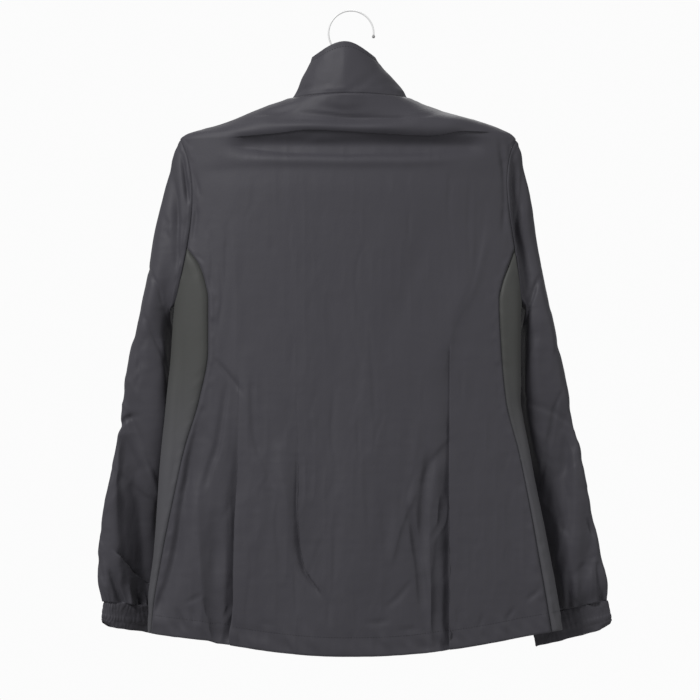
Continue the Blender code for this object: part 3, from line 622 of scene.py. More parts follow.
@dataclass(frozen=True)
class CreaseScatter:
    """Many small creases strewn over a stretch of cloth.

    count: how many; x, z: the stretch; length, width, depth: least and most of each;
    lean: the most that one leans, as a share of its length; seed: fixes where they fall.
    """

    count: int
    x: Pair
    z: Pair
    length: Pair
    width: Pair
    depth: Pair
    lean: float
    seed: int

    def creases(self) -> list[Crease]:
        """Place the creases."""
        rng = np.random.default_rng(self.seed)
        found = []
        for _ in range(self.count):
            x, z = rng.uniform(*self.x), rng.uniform(*self.z)
            length = rng.uniform(*self.length)
            lean = rng.uniform(-self.lean, self.lean) * length
            depth = -rng.uniform(*self.depth) * (1 if rng.random() < 0.7 else -0.8)
            sharp = rng.uniform(*self.width)
            soft = sharp * rng.uniform(1.4, 3.4)
            if rng.random() < 0.4:
                sharp, soft = soft, sharp
            bend = rng.uniform(-0.09, 0.09, 2) * length
            line = ((x, z + length / 2), (x + lean * 0.35 + bend[0], z + length / 6),
                    (x + lean * 0.7 + bend[1], z - length / 6), (x + lean, z - length / 2))
            found.append(Crease(soft, sharp, depth, length * 0.4, line))
        return found


# Laps of the back: low, reach, narrow, high, over, tuck, begin, fade, line
BACK_LAPS = (
    # under the shoulders: the cloth above hangs over a deep fold
    Lap(0.8, 5, 1, 0.8, 8, 2.2, 0.5, 16,
        ((-126, -146), (-83, -142), (-47, -138), (20, -141), (66, -144), (100, -144),
         (126, -140), (150, -141))),
    # left of the centre
    Lap(6, 9, 0.9, 1.4, 34, 2, 0.14, 14,
        ((-132, -436), (-133, -501), (-134, -548), (-135, -587), (-136, -642), (-137, -690),
         (-143, -728))),
    Lap(8, 42, 1, 0, 5, 0.4, 0, 8, ((-134, -470), (-135, -587), (-137, -690), (-143, -740))),
    Lap(4.8, 15, 0.35, 0.8, 14, 1.8, 0.2, 20,
        ((-63, -470), (-63, -548), (-63, -583), (-61, -618), (-57, -642), (-53, -656),
         (-44, -669))),
    # right of the centre
    Lap(5, 9, 1, 1.6, 40, 2.4, 0.4, 16,
        ((116, -404), (115.5, -478), (115.2, -536), (115, -595), (115.5, -665), (116, -742))),
    Lap(5.5, 34, 1, 0, 5, 0.4, 0, 8, ((115, -480), (115, -595), (116, -744))),
)

# Creases, from the neck down: minus, plus, height and fade, then x and z of every point
BACK_CREASES = (
    # from the neck to the deep fold under the shoulders
    (5, 21, -6, 26, -80, -125, -20, -127, 20, -127.5, 54, -127),
    (3, 9, -3, 26, -60, -124.5, -16, -126, 20, -126.5, 50, -126),
    (8, 11, -2.6, 30, -100, -163, 0, -164, 110, -163),
    (3, 3, -1.4, 12, -108, -120, -84, -115, -68, -110),
    (2.6, 3, -2, 10, -76, -103, -62, -97, -50, -91),
    (5, 5, 1, 12, -100, -114, -78, -107),
    (4, 3, -1.2, 14, -30, -110, -8, -113, 14, -111),
    (9, 9, 4, 20, -124, -139, -83, -135, -47, -131, 20, -133, 66, -136, 100, -136, 126, -133,
     148, -136),
    (2.4, 1.6, -1.2, 16, -128, -158, -87, -162, -37, -164, 40, -164, 84, -163),
    (2.6, 1.8, -1.8, 14, -58, -116, -25, -119, 0, -121, 50, -122.5, 88, -121),
    (7, 6, 1, 10, -48, -151, -33, -149, -18, -151),
    (6, 6, 0.7, 40, -120, -171, -40, -174, 60, -174),
    (7, 5, -0.6, 40, -150, -185, -100, -182, 0, -183, 80, -182, 140, -176),
    # beside the armholes
    (2.2, 3.4, -1.6, 9, -191, -176, -186, -190, -179, -211),
    (2.4, 4, -2.2, 9, -186, -214, -183, -236, -185, -262),
    (3.6, 2.6, -2, 14, 176, -160, 180, -186, 181, -214, 179, -250),
    (2, 3.4, -1.6, 10, 186, -158, 188, -184, 186, -214),
    # faint upright ones above the waist
    (2.4, 3.6, -0.6, 14, -164, -268, -163, -292, -165, -318),
    (2.4, 3.6, -0.6, 14, -146, -266, -147, -314),
    (2.4, 3.6, -0.7, 16, -153, -308, -151, -336, -155, -364),
    (4, 9, 0.8, 24, -138, -262, -134, -330, -134, -420),
    (2, 3, -0.8, 9, 67, -238, 67, -266),
    (2.6, 4, -0.6, 18, 115, -200, 114, -232, 116, -262),
    (2.6, 4, -0.7, 20, 139, -206, 137, -256, 138, -300),
    (2.4, 4, -0.6, 18, 148, -230, 146, -304),
    (24, 6, 2, 26, 154, -280, 140, -326, 118, -372, 110, -410),
    (5, 4, -0.9, 16, 156, -226, 153, -262, 141, -322, 124, -366),
    (16, 12, -1, 36, 88, -270, 62, -330, 46, -380),
    # left of the centre, from the waist to the hem
    (2, 3.4, -1.7, 12, -156, -412, -146, -424, -131, -442),
    (4.5, 3, -2.2, 14, -147, -446, -150, -470, -154, -495, -158, -518),
    (4, 3, -2, 12, -158, -512, -163, -526, -169, -548),
    (3.2, 11, -6, 24, -184, -500, -191, -530, -199, -576, -206, -621, -214, -660, -226, -690),
    (9, 10, 1.8, 22, -122, -408, -122, -478, -116, -513, -103, -550),
    (9, 13, 3, 16, -84, -516, -77, -556, -70, -589, -64, -612),
    (1.6, 4, -1, 10, -117, -440, -116, -478, -112, -506, -101, -532, -94, -552),
    (12, 7, 3, 24, -181, -560, -178, -630, -173, -677, -169, -716),
    (7, 9, -3.4, 18, -159, -596, -161, -642, -162, -690, -157, -728),
    (2, 6, -1, 12, -21, -606, -20, -640, -21, -676),
    (1.8, 4, -0.9, 7, -27, -692, -27, -716),
    (2.6, 5, -0.7, 12, -20, -446, -23, -490, -18, -530),
    (2.2, 4, -0.6, 12, -84, -560, -88, -600, -84, -640),
    (2, 3, -0.8, 6, -104, -716, -92, -719),
    (2, 3.6, -0.7, 10, -66, -660, -64, -700),
    # right of the centre, from the waist to the hem
    (9, 3, 1.7, 12, 72, -570, 65, -586, 57, -607, 52, -627, 48, -641),
    (3, 8, -1.3, 14, 112, -508, 104, -516, 94, -528, 88, -544),
    (5, 6, -4.2, 20, 90, -530, 86.5, -560, 84, -590, 84, -634),
    (4.5, 3.6, -4, 18, 70, -590, 75, -612, 79, -632, 82, -656, 84, -684),
    (5, 8, 0.8, 30, 78, -500, 73, -560, 68, -620),
    (2.6, 3.4, -1.3, 10, 108, -574, 106, -598, 99, -612),
    (5, 5, 1.8, 16, 92, -628, 94, -670, 96, -740),
    (3.4, 5, -1.2, 16, 103, -628, 102, -680, 101, -742),
    (5, 6, 0.6, 14, 98, -530, 99, -556, 96, -580),
    (2, 4, -1.4, 10, 66, -672, 54, -686, 44, -694),
    (3, 2, -1.4, 8, 40, -714, 30, -716, 20, -716),
    (3, 2, -1.2, 8, 76, -723, 62, -724),
    (2.2, 5, -0.8, 14, 24, -402, 25, -440, 26, -474),
    (2.4, 4, -0.7, 14, 8, -486, 9, -520),
    (3, 6, -0.8, 16, 18, -560, 20, -600),
    (2, 3.2, -0.8, 6, 124, -702, 125, -716),
    (2.2, 3.2, -0.7, 8, 128, -430, 130, -450),
    (26, 24, 1.4, 50, 152, -590, 166, -748),
    (12, 14, -1.4, 40, 186, -560, 200, -748),
    # small ones of the hem's casing
    (2.4, 3.4, -1.7, 6, -204, -703, -198, -719),
    (2.4, 3.4, -1.7, 6, -188, -701, -184, -716),
    (2.6, 3.6, -2.2, 7, -168, -692, -161, -712, -158, -730),
    (2.4, 3.4, -1.2, 8, -135, -712, -130, -738),
    (3, 2, -1.4, 7, -190, -690, -178, -684),
    (3, 3, -0.6, 8, -152, -712, -144, -700),
    (2, 3, -1.3, 6, 208, -688, 219, -679),
    (2, 3, -1.2, 6, 183, -711, 190, -701),
    (2, 3, -1, 6, 150, -722, 154, -708),
    # broad ones
    (26, 30, 1.4, 70, 20, -430, 30, -540, 26, -640),
    (22, 26, -1, 70, -20, -300, -16, -430, -26, -560),
)

SIDE_CREASES = (
    (7, 6, 1.6, 34, -209, -330, -209, -420, -213, -500, -221, -590, -232, -700),
    (4, 3, -1.2, 30, -198, -400, -203, -500, -212, -590),
    (3, 2, -1.4, 12, -226, -684, -221, -706),
    (3, 2, -1.4, 10, -238, -690, -234, -716),
    (7, 5, -0.8, 24, 186, -420, 200, -520),
)

FRONT_CREASES = (
    (4, 6, -2.2, 20, -58, -214, -90, -203, -120, -186),
    (4.5, 6, -2, 22, 60, -210, 95, -200, 128, -184),
    (5, 7, -1.6, 24, -40, -232, -67, -249, -96, -262),
    (6, 5, -1.8, 24, 36, -238, 59, -259, 84, -276),
    (2.4, 4.2, -1.6, 20, -150, -250, -146, -340),
    (4, 2.6, -1.8, 24, -132, -300, -132, -365, -136, -430),
    (4.2, 2.4, -1.6, 20, 146, -246, 140, -350),
    (2.6, 4.4, -1.9, 24, 128, -330, 129, -400, 134, -470),
    Lap(3.2, 8, 0.8, 1.4, 26, 1.4, 0.3, 26, ((-104, -470), (-108, -600), (-112, -742))),
    (3.4, 5, -1.4, 24, -60, -420, -60, -490, -66, -560),
    (2, 3.6, -2, 20, -46, -560, -70, -700),
    Lap(3.0, 8, 0.8, 1.4, 26, 1.4, 0.3, 26, ((124, -742), (118, -610), (112, -480))),
    (5, 3.4, -1.6, 24, 58, -460, 59, -535, 66, -610),
    (3.6, 2, -1.8, 20, 40, -600, 62, -720),
    (12, 9, -2, 40, -168, -560, -176, -742),
    (9, 12, -2.2, 40, 168, -540, 182, -742),
    (9, 6, 1, 60, -26, -300, -25, -430, -28, -560),
    (6, 9, 1.2, 60, 24, -340, 24, -480, 28, -620),
)

COLLAR_CREASES = (
    (2.4, 3.4, -2.2, 6, -72, -101, -62, -95, -50, -89),
    (5, 6, -1.2, 14, 2, -96, 14, -84, 28, -72),
    (9, 8, 1, 14, -14, -94, -8, -64, -4, -46),
    (5, 5, 0.8, 14, -44, -70, -30, -50),
    (3, 5, -0.6, 14, 24, -88, 44, -84, 62, -88),
)

COLLAR_FRONT_CREASES = (
    (4, 5, -1.3, 14, -48, -118, -30, -128, -14, -142),
    (5, 4, -1.2, 14, 46, -112, 30, -125, 16, -140),
)

LEFT_SLEEVE_CREASES = (
    # the head
    (2.2, 3, -4.6, 9, -197, -176, -195, -192, -192, -216),
    (5, 3, -4.2, 16, -209, -190, -205, -220, -204, -256, -204, -290),
    (9, 8, 2.4, 30, -222, -210, -228, -290, -238, -360),
    (2.4, 2, -1.6, 10, -236, -300, -226, -320, -222, -336),
    (3, 2.4, -2, 14, -238, -362, -226, -398, -219, -420),
    (20, 9, 4.2, 40, -227, -350, -226, -430, -224, -480, -227, -520),
    (20, 9, 3.8, 40, -227, -382, -225, -450, -226, -500, -231, -550),
    (20, 9, 3.6, 44, -226, -412, -225, -470, -228, -530, -236, -580),
    (18, 9, 4.4, 40, -227, -442, -227, -490, -231, -545, -238, -600),
    (3, 3, -2.4, 8, -276, -486, -266, -478, -254, -474),
    # the long hollow and what crosses it
    (9, 6, 3.2, 24, -273, -500, -275, -572, -274, -630, -270, -668),
    (25, 9, -11, 54, -257, -494, -248, -560, -243, -612, -240, -664),
    (7, 6, 4.2, 18, -264, -478, -247, -524, -227, -576),
    (2, 3, -1.8, 9, -256, -476, -243, -512, -233, -544),
    (2.4, 2, -1.8, 9, -260, -506, -248, -532, -229, -578),
    Lap(3.6, 8, 0.9, 2.6, 9, 2.2, 0.7, 12, ((-230, -672), (-252, -657), (-270, -638))),
    # gathers over the cuff
    (3, 2.2, -4.2, 9, -280, -660, -272, -680, -265, -698),
    (5, 5, 2.6, 10, -259, -668, -255, -698),
    (2.6, 2.6, -4.4, 7, -247, -680, -243, -694),
    (5, 5, 2.2, 9, -290, -650, -285, -694),
    (2.4, 2.4, -3.4, 7, -236, -684, -234, -700),
    (3, 3, -2.8, 8, -297, -640, -290, -664),
    (4, 4, 2, 9, -272, -650, -268, -664),
)

RIGHT_SLEEVE_CREASES = (
    # the head
    (4, 11, -13, 26, 191, -190, 191, -215, 192, -240, 196, -268, 201, -300, 203, -318),
    (6, 12, -5, 28, 199, -230, 204, -270, 208, -306),
    (9, 16, 5, 44, 214, -346, 213, -410, 214, -460, 221, -508),
    (9, 16, 4.6, 44, 214, -374, 213, -420, 216, -480, 224, -526),
    (9, 15, 4.2, 50, 213, -398, 213, -440, 219, -500, 230, -548),
    (2.6, 4, -2.2, 18, 204, -176, 203, -213, 200, -250),
    (12, 9, -2.4, 30, 214, -250, 216, -290, 212, -330),
    (3, 2, -2.8, 8, 221, -314, 214, -328, 207, -350),
    (8, 9, 2, 30, 232, -350, 238, -440),
    # the lower arm
    (1.8, 2.6, -2, 10, 244, -450, 238, -466, 234, -496, 229, -526, 222, -552),
    (12, 11, -5.2, 22, 255, -470, 250, -513, 245, -560, 241, -600),
    (8, 8, 3, 26, 265, -520, 264, -580, 260, -640),
    (8, 6, -3.8, 18, 280, -590, 282, -644),
    (2, 2, -2.4, 6, 279, -597, 284, -611),
    (6, 6, 1.8, 18, 292, -560, 298, -620),
    # gathers over the cuff
    (4, 4, 2.4, 10, 250, -654, 252, -692),
    (3, 3, -1.5, 9, 257, -660, 256, -700),
    (14, 6, 3.6, 18, 266, -618, 264, -655, 262, -690),
    (10, 16, 5, 34, 242, -592, 245, -636, 249, -672),
    (4, 4, 2.2, 10, 262, -664, 264, -690),
    (2.2, 3, -3.6, 8, 263, -690, 273, -708),
    (4, 4, 2, 10, 282, -650, 280, -700),
    (2.6, 3, -2.8, 9, 290, -650, 294, -700),
    (3, 3, -2.6, 9, 238, -664, 240, -712),
    (3, 4, -1.6, 12, 292, -500, 280, -516, 272, -526),
)

LEFT_SLEEVE_FRONT_CREASES = (
    (3, 5, -2.4, 14, -214, -470, -242, -463, -268, -452),
    (6, 4, -2.6, 18, -220, -498, -249, -507, -276, -520),
    (4, 3, -2, 24, -226, -220, -226, -290, -232, -360),
    (6, 9, -3, 26, -248, -540, -241, -590, -238, -640),
    (3.4, 5, -2, 20, -278, -560, -284, -660),
    (3, 4, -2.2, 14, -222, -620, -228, -690),
)

RIGHT_SLEEVE_FRONT_CREASES = (
    (5, 3, -2.4, 14, 206, -486, 235, -476, 262, -462),
    (4, 6, -2, 18, 214, -520, 240, -508, 268, -500),
    (3, 4.4, -2.2, 24, 216, -210, 219, -280, 228, -350),
    (8, 6, -3, 26, 240, -560, 236, -660),
    (4.6, 3, -2, 18, 272, -580, 276, -668),
    (3, 4, -2.2, 14, 218, -630, 224, -700),
)


class Noise:
    """Smooth seeded noise from -1 to 1."""

    def __init__(self, seed: int) -> None:
        """Shuffle the noise's table."""
        rng = np.random.default_rng(seed)
        self.order = rng.permutation(512)
        self.values = rng.uniform(-1, 1, 512)

    def __call__(self, points: Array) -> Array:
        """Read the noise at points, whose unit is one cell."""
        base = np.floor(points).astype(int)
        f = points - base
        f = f * f * f * (f * (f * 6 - 15) + 10)
        total = np.zeros(points.shape[:-1])
        for corner in range(8):
            step = [(corner >> k) & 1 for k in range(3)]
            key = self.order[(base[..., 0] + step[0]) % 512]
            key = self.order[(key + base[..., 1] + step[1]) % 512]
            key = (key + base[..., 2] + step[2]) % 512
            weight = np.ones(points.shape[:-1])
            for k in range(3):
                weight = weight * (f[..., k] if step[k] else 1 - f[..., k])
            total += weight * self.values[key]
        return total


@dataclass(frozen=True)
class Crumple:
    """The unevenness that a thin nylon keeps.

    drape: depth of broad waves; streak: depth of soft upright streaks; cross: of the short ones
    that lie across; fine: of the smallest; each has its size across and along the garment.
    """

    drape: float = 1.2
    drape_size: Pair = (46.0, 130.0)
    streak: float = 0.34
    streak_size: Pair = (11.0, 48.0)
    cross: float = 0.12
    cross_size: Pair = (16.0, 10.0)
    fine: float = 0.06
    fine_size: Pair = (4.6, 14.0)

    def push(self, points: Array) -> Array:
        """How far it moves the cloth at points."""
        total = np.zeros(points.shape[:-1])
        for seed, depth, (across, along), ridged in (
                (3, self.drape, self.drape_size, False),
                (11, self.streak, self.streak_size, True),
                (23, self.cross, self.cross_size, True),
                (37, self.fine, self.fine_size, True)):
            value = Noise(seed)(points / np.array([across, across, along]) + seed * 7.3)
            if ridged:
                value = 0.55 - 2.2 * np.sqrt(value * value + 0.01)
            total += depth * value
        return total


CRUMPLE = Crumple()
SMOOTH_CRUMPLE = Crumple(drape=0.9, streak=0.14, cross=0.05, fine=0.03)


# ---- shell meshes


class Shell:
    """A grid of cloth points that is creased, sewn in at its seams and turned in at its hems."""

    def __init__(self, points: Array, outward: Array, closed: bool = False) -> None:
        """Start from a plain grid.

        Args:
            points: rows of points from the lower edge up.
            outward: outward directions, shared with the pieces next to this one.
            closed: the last column joins the first.
        """
        self.points = points
        self.plain = points.copy()
        self.outward = unit(outward)
        self.closed = closed
        self.sign = 1.0
        self.sign = float(np.sign(np.sum(self.normals() * outward)))
        self.rise = self._lengths(points, 0)
        self.along = self._lengths(points, 1)

    @staticmethod
    def _lengths(points: Array, axis: int) -> Array:
        step = np.linalg.norm(np.diff(points, axis=axis), axis=2)
        zero = np.zeros_like(np.take(step, [0], axis=axis))
        return np.concatenate([zero, np.cumsum(step, axis=axis)], axis=axis)

    def normals(self) -> Array:
        """Outward directions of the grid as it is now."""
        if self.closed:
            across = np.roll(self.points, -1, axis=1) - np.roll(self.points, 1, axis=1)
        else:
            across = np.gradient(self.points, axis=1)
        return unit(np.cross(across, np.gradient(self.points, axis=0))) * self.sign

    def push(self, amount: Array) -> None:
        """Move the cloth outwards."""
        self.points = self.points + self.normals() * amount[..., None]

    def crease(self, rows: Iterable[tuple | Crease | Lap], face: Face,
               near: float = 0.15, far: float = 0.5, depth: float = 1.0) -> None:
        """Push creases into the cloth where it looks to the back or to the front.

        Args:
            rows: creases and laps, or rows of a crease's numbers.
            face: the side they are seen from.
            near: how much the cloth has to look that way for a crease to begin.
            far: where it has its full depth.
            depth: scales every crease.
        """
        weight = ease(near, far, self.outward[..., 1] * face.value) * depth
        nearer = VIEW_DISTANCE / (VIEW_DISTANCE - self.plain[..., 1] * face.value)
        x = self.plain[..., 0] * nearer
        z = VIEW_HEIGHT + (self.plain[..., 2] - VIEW_HEIGHT) * nearer
        total = np.zeros((3, *x.shape))
        for row in rows:
            total += (Crease.read(row) if isinstance(row, tuple) else row).push(x, z)
        outs = self.normals()
        slide = np.stack([total[1], total[1] * 0, total[2]], -1) * weight[..., None]
        slide -= outs * np.sum(slide * outs, axis=-1, keepdims=True)
        self.points = self.points + slide + outs * (total[0] * weight)[..., None]

    def edges(self) -> dict[str, Array]:
        """Distance of every point from each edge."""
        return {"left": self.along, "right": self.along[:, -1:] - self.along,
                "bottom": self.rise, "top": self.rise[-1:] - self.rise}

    def sew(self, seams: Sequence[str], seed: int = 5,
            dip: float | Array = 1.0) -> None:
        """Bring the cloth back to its seam lines, with small puckers beside them.

        Args:
            seams: the edges that are sewn to another piece.
            seed: of the puckers.
            dip: how deep the seam line lies.
        """
        distance = self.edges()
        pucker = Noise(seed)(self.plain / PUCKER)
        loose = np.ones(self.rise.shape)
        push = np.zeros(self.rise.shape)
        for seam in seams:
            d = distance[seam]
            loose = loose * ease(-0.5, SEAM_EASE, d)
            push += 0.35 * bell(d - 4.6, 2.4)
            push += 0.7 * pucker * bell(d - 5.0, 6.0) * ease(0.0, 4.0, d)
        self.push(push)
        self.points = self.plain + (self.points - self.plain) * loose[..., None]
        nearest = np.min([distance[seam] for seam in seams], axis=0)
        self.points -= self.outward * (dip * bell(nearest, SEAM_LINE))[..., None]

    def build(self, name: str, material: Material, turned: Sequence[str] = (),
              sewn: Sequence[str] = (), width: float = 20.0) -> Object:
        """Make the cloth as an object.

        Args:
            name: its name.
            material: its finish.
            turned: the edges that are turned in, as at a hem.
            sewn: the edges that go in a little way at a seam.
            width: of a turned edge.

        Returns:
            The object.
        """
        layers = np.stack([self.points, self.normals(), self.outward])
        for edge in ("left", "right", "bottom", "top"):
            if edge not in turned and edge not in sewn:
                continue
            sideways, from_end = edge in ("left", "right"), edge in ("right", "top")
            layers = layers.swapaxes(1, 2) if sideways else layers
            layers = layers[:, ::-1] if from_end else layers
            grid, outs, shared = layers
            if edge in turned:
                far = np.linalg.norm(np.diff(grid[:60], axis=0), axis=2).mean(axis=1).cumsum()
                picked = list(range(int(np.searchsorted(far, width)) + 1, 0, -2))
                folded = grid[picked] - outs[picked] * (CLOTH_SHOWN + 0.15)
                bend = grid[:1] - outs[:1] * CLOTH_SHOWN * 0.85
                lip = grid[:1] - outs[:1] * CLOTH_SHOWN * 0.4
                lip = lip + unit(grid[:1] - grid[1:2]) * CLOTH_SHOWN * 0.35
                picked += [0, 0]
                extra = [np.concatenate([folded, bend, lip]), outs[picked], shared[picked]]
            else:
                extra = [grid[:1] - shared[:1] * SEAM_DEPTH, outs[:1], shared[:1]]
            layers = np.concatenate([np.stack(extra), layers], axis=1)
            layers = layers[:, ::-1] if from_end else layers
            layers = layers.swapaxes(1, 2) if sideways else layers
        grid = layers[0]
        rows, cols = grid.shape[:2]
        index = np.arange(rows * cols).reshape(rows, cols)
        right = np.roll(index, -1, axis=1) if self.closed else index[:, 1:]
        left = index if self.closed else index[:, :-1]
        quads = np.stack([left[:-1], right[:-1], right[1:], left[1:]], axis=-1).reshape(-1, 4)
        if self.sign < 0:
            quads = quads[:, ::-1]
        return make_object(name, grid.reshape(-1, 3), quads.tolist(), material)

    def path_at(self, distance: float, axis: int, from_end: bool = False,
                lift: float = 0.0) -> tuple[Array, Array]:
        """A line on the cloth at a distance from one of its edges.

        Args:
            distance: from the edge.
            axis: 0 for a line beside the lower or upper edge, 1 beside a side edge.
            from_end: measure from the last row or column.
            lift: raise the line off the cloth.

        Returns:
            Points and outward directions.
        """
        lengths = self.rise if axis == 0 else self.along
        points, outs = self.points, self.normals()
        if from_end:
            lengths = np.flip(np.take(lengths, [-1], axis=axis) - lengths, axis)
            points, outs = np.flip(points, axis), np.flip(outs, axis)
        if axis == 1:
            lengths, points = lengths.T, points.swapaxes(0, 1)
            outs = outs.swapaxes(0, 1)
        found, ways = [], []
        for j in range(points.shape[1]):
            place = np.interp(distance, lengths[:, j], np.arange(len(lengths)))
            i = min(int(place), len(lengths) - 2)
            t = place - i
            found.append(points[i, j] * (1 - t) + points[i + 1, j] * t)
            ways.append(unit(outs[i, j] * (1 - t) + outs[i + 1, j] * t))
        found, ways = np.array(found), np.array(ways)
        return found + ways * lift, ways


def make_object(name: str, vertices: Array, faces: list, material: Material,
                smooth: bool = True, body: str = BODY) -> Object:
    """Write a mesh object from points in millimetres and set it riding on a body."""
    mesh = bpy.data.meshes.new(name)
    mesh.from_pydata((np.asarray(vertices) * MM).tolist(), [], faces)
    mesh.materials.append(material)
    mesh.polygons.foreach_set("use_smooth", [smooth] * len(mesh.polygons))
    mesh.update()
    item = bpy.data.objects.new(name, mesh)
    bpy.context.scene.collection.objects.link(item)
    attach(item, body)
    return item


def flat_area(shell: Shell, turned: float = 0.0) -> float:
    """Area of the cloth as cut, in square metres.

    Args:
        shell: the cloth.
        turned: area that is turned in at its hems, in square millimetres.
    """
    p = shell.plain
    if shell.closed:
        p = np.concatenate([p, p[:, :1]], axis=1)
    a, b, c, d = p[:-1, :-1], p[:-1, 1:], p[1:, 1:], p[1:, :-1]
    area = np.linalg.norm(np.cross(b - a, c - a), axis=-1) / 2
    area += np.linalg.norm(np.cross(c - a, d - a), axis=-1) / 2
    return float(area.sum() + turned) * 1e-6


# ---- the surfaces


class Shade:
    """A material's node tree, built step by step."""

    def __init__(self, name: str) -> None:
        """Start a material with a plain surface shader.

        Args:
            name: the finish's name.
        """
        self.material = bpy.data.materials.new(name)
        self.material.use_nodes = True
        self.tree = self.material.node_tree
        self.surface = self.tree.nodes["Principled BSDF"]

    def set(self, socket: str, value: object) -> None:
        """Set one value of the surface shader."""
        self.surface.inputs[socket].default_value = value

    def place(self, group: NodeTree, **values: object) -> Node:
        """Place a shared effect with its own values.

        Args:
            group: the effect.
            values: inputs by name, with spaces written as underscores.

        Returns:
            The placed node.
        """
        node = self.tree.nodes.new("ShaderNodeGroup")
        node.node_tree = group
        for name, value in values.items():
            socket = node.inputs[name.replace("_", " ")]
            if isinstance(value, NodeSocket):
                self.tree.links.new(value, socket)
            else:
                socket.default_value = value
        return node

    def feed(self, output: NodeSocket, socket: str) -> None:
        """Lead an output into the surface shader."""
        self.tree.links.new(output, self.surface.inputs[socket])

    def mix(self, share: object, first: tuple, second: tuple) -> NodeSocket:
        """Blend two colours by a share, and return the result."""
        return mix_colours(self.tree, share, first, second)


def mix_colours(tree: NodeTree, share: object, first: object,
                second: object, mode: str = "MIX") -> NodeSocket:
    """Add a colour blend to a node tree.

    Args:
        tree: where it goes.
        share, first, second: values, or sockets that give them.
        mode: how the two are blended.

    Returns:
        The blend's output.
    """
    node = tree.nodes.new("ShaderNodeMix")
    node.data_type = "RGBA"
    node.blend_type = mode
    for socket, value in ((node.inputs[0], share), (node.inputs[6], first),
                          (node.inputs[7], second)):
        if isinstance(value, NodeSocket):
            tree.links.new(value, socket)
        elif isinstance(value, tuple) and len(value) == 3:
            socket.default_value = (*value, 1.0)
        else:
            socket.default_value = value
    return node.outputs[2]


class Effect:
    """A shared effect: a node group with named inputs and outputs."""

    def __init__(self, name: str, inputs: Sequence[tuple], outputs: Sequence[tuple]) -> None:
        """Make the group and its sockets.

        Args:
            name: what the effect is.
            inputs: name, kind and starting value of each input.
            outputs: name and kind of each output.
        """
        self.tree = bpy.data.node_groups.new(name, "ShaderNodeTree")
        for label, kind, value in inputs:
            socket = self.tree.interface.new_socket(label, in_out="INPUT",
                                                    socket_type=f"NodeSocket{kind}")
            socket.default_value = value
        for label, kind in outputs:
            self.tree.interface.new_socket(label, in_out="OUTPUT",
                                           socket_type=f"NodeSocket{kind}")
        self.inputs = self.tree.nodes.new("NodeGroupInput").outputs
        self.outputs = self.tree.nodes.new("NodeGroupOutput").inputs

    def node(self, kind: str, **values: object) -> Node:
        """Add a node with its settings."""
        node = self.tree.nodes.new(f"ShaderNode{kind}")
        for name, value in values.items():
            setattr(node, name, value)
        return node

    def link(self, output: NodeSocket, socket: NodeSocket) -> None:
        """Join two sockets."""
        self.tree.links.new(output, socket)

    def math(self, how: str, first: object, second: object = 0.0,
             third: object = 0.0) -> NodeSocket:
        """Add a calculation and return its result."""
        node = self.node("Math", operation=how)
        for socket, value in zip(node.inputs, (first, second, third)):
            if isinstance(value, NodeSocket):
                self.link(value, socket)
            else:
                socket.default_value = value
        return node.outputs[0]

    def place_in_cloth(self, size: Triple) -> NodeSocket:
        """Position in the cloth, divided by a size in metres."""
        where = self.node("TexCoord")
        scale = self.node("VectorMath", operation="DIVIDE")
        self.link(where.outputs["Object"], scale.inputs[0])
        scale.inputs[1].default_value = size
        return scale.outputs[0]

    def noise(self, size: Triple, detail: float = 2.0,
              rough: float = 0.5) -> NodeSocket:
        """Add noise of a size, and return its value from 0 to 1."""
        node = self.node("TexNoise")
        self.link(self.place_in_cloth(size), node.inputs["Vector"])
        node.inputs["Scale"].default_value = 1.0
        node.inputs["Detail"].default_value = detail
        node.inputs["Roughness"].default_value = rough
        return node.outputs["Fac"]


def crinkle_effect() -> NodeTree:
    """Fine creases of washed nylon, over a plain weave: gives a normal."""
    effect = Effect("Fine Crinkle", (("Crinkle", "Float", 0.5), ("Weave", "Float", 0.2),
                                     ("Depth", "Float", 0.0006)),
                    (("Normal", "Vector"),))
    long_creases = effect.noise((0.0045, 0.0045, 0.013), 3.0, 0.55)
    cross_creases = effect.noise((0.008, 0.008, 0.0042), 2.0, 0.5)
    ridge = effect.math("ABSOLUTE", effect.math("SUBTRACT", long_creases, 0.5))
    cross = effect.math("ABSOLUTE", effect.math("SUBTRACT", cross_creases, 0.5))
    crease = effect.math("ADD", effect.math("MULTIPLY", ridge, -2.6),
                         effect.math("MULTIPLY", cross, -1.5))
    crease = effect.math("MULTIPLY", crease, effect.inputs["Crinkle"])
    weave = effect.noise((0.0006, 0.0006, 0.0007), 0.0, 0.0)
    weave = effect.math("MULTIPLY", weave, effect.inputs["Weave"])
    bump = effect.node("Bump")
    bump.inputs["Strength"].default_value = 1.0
    effect.link(effect.inputs["Depth"], bump.inputs["Distance"])
    effect.link(effect.math("ADD", crease, weave), bump.inputs["Height"])
    effect.link(bump.outputs["Normal"], effect.outputs["Normal"])
    return effect.tree


def mottle_effect() -> NodeTree:
    """Slow changes of shade over a dyed cloth: gives a mask about 1."""
    effect = Effect("Dye Mottle", (("Amount", "Float", 0.1),), (("Shade", "Float"),))
    broad = effect.math("SUBTRACT", effect.noise((0.09, 0.09, 0.16), 3.0, 0.6), 0.5)
    fine = effect.math("SUBTRACT", effect.noise((0.012, 0.012, 0.02), 2.0, 0.5), 0.5)
    both = effect.math("ADD", broad, effect.math("MULTIPLY", fine, 0.6))
    effect.link(effect.math("MULTIPLY_ADD", both, effect.inputs["Amount"], 1.0),
                effect.outputs["Shade"])
    return effect.tree


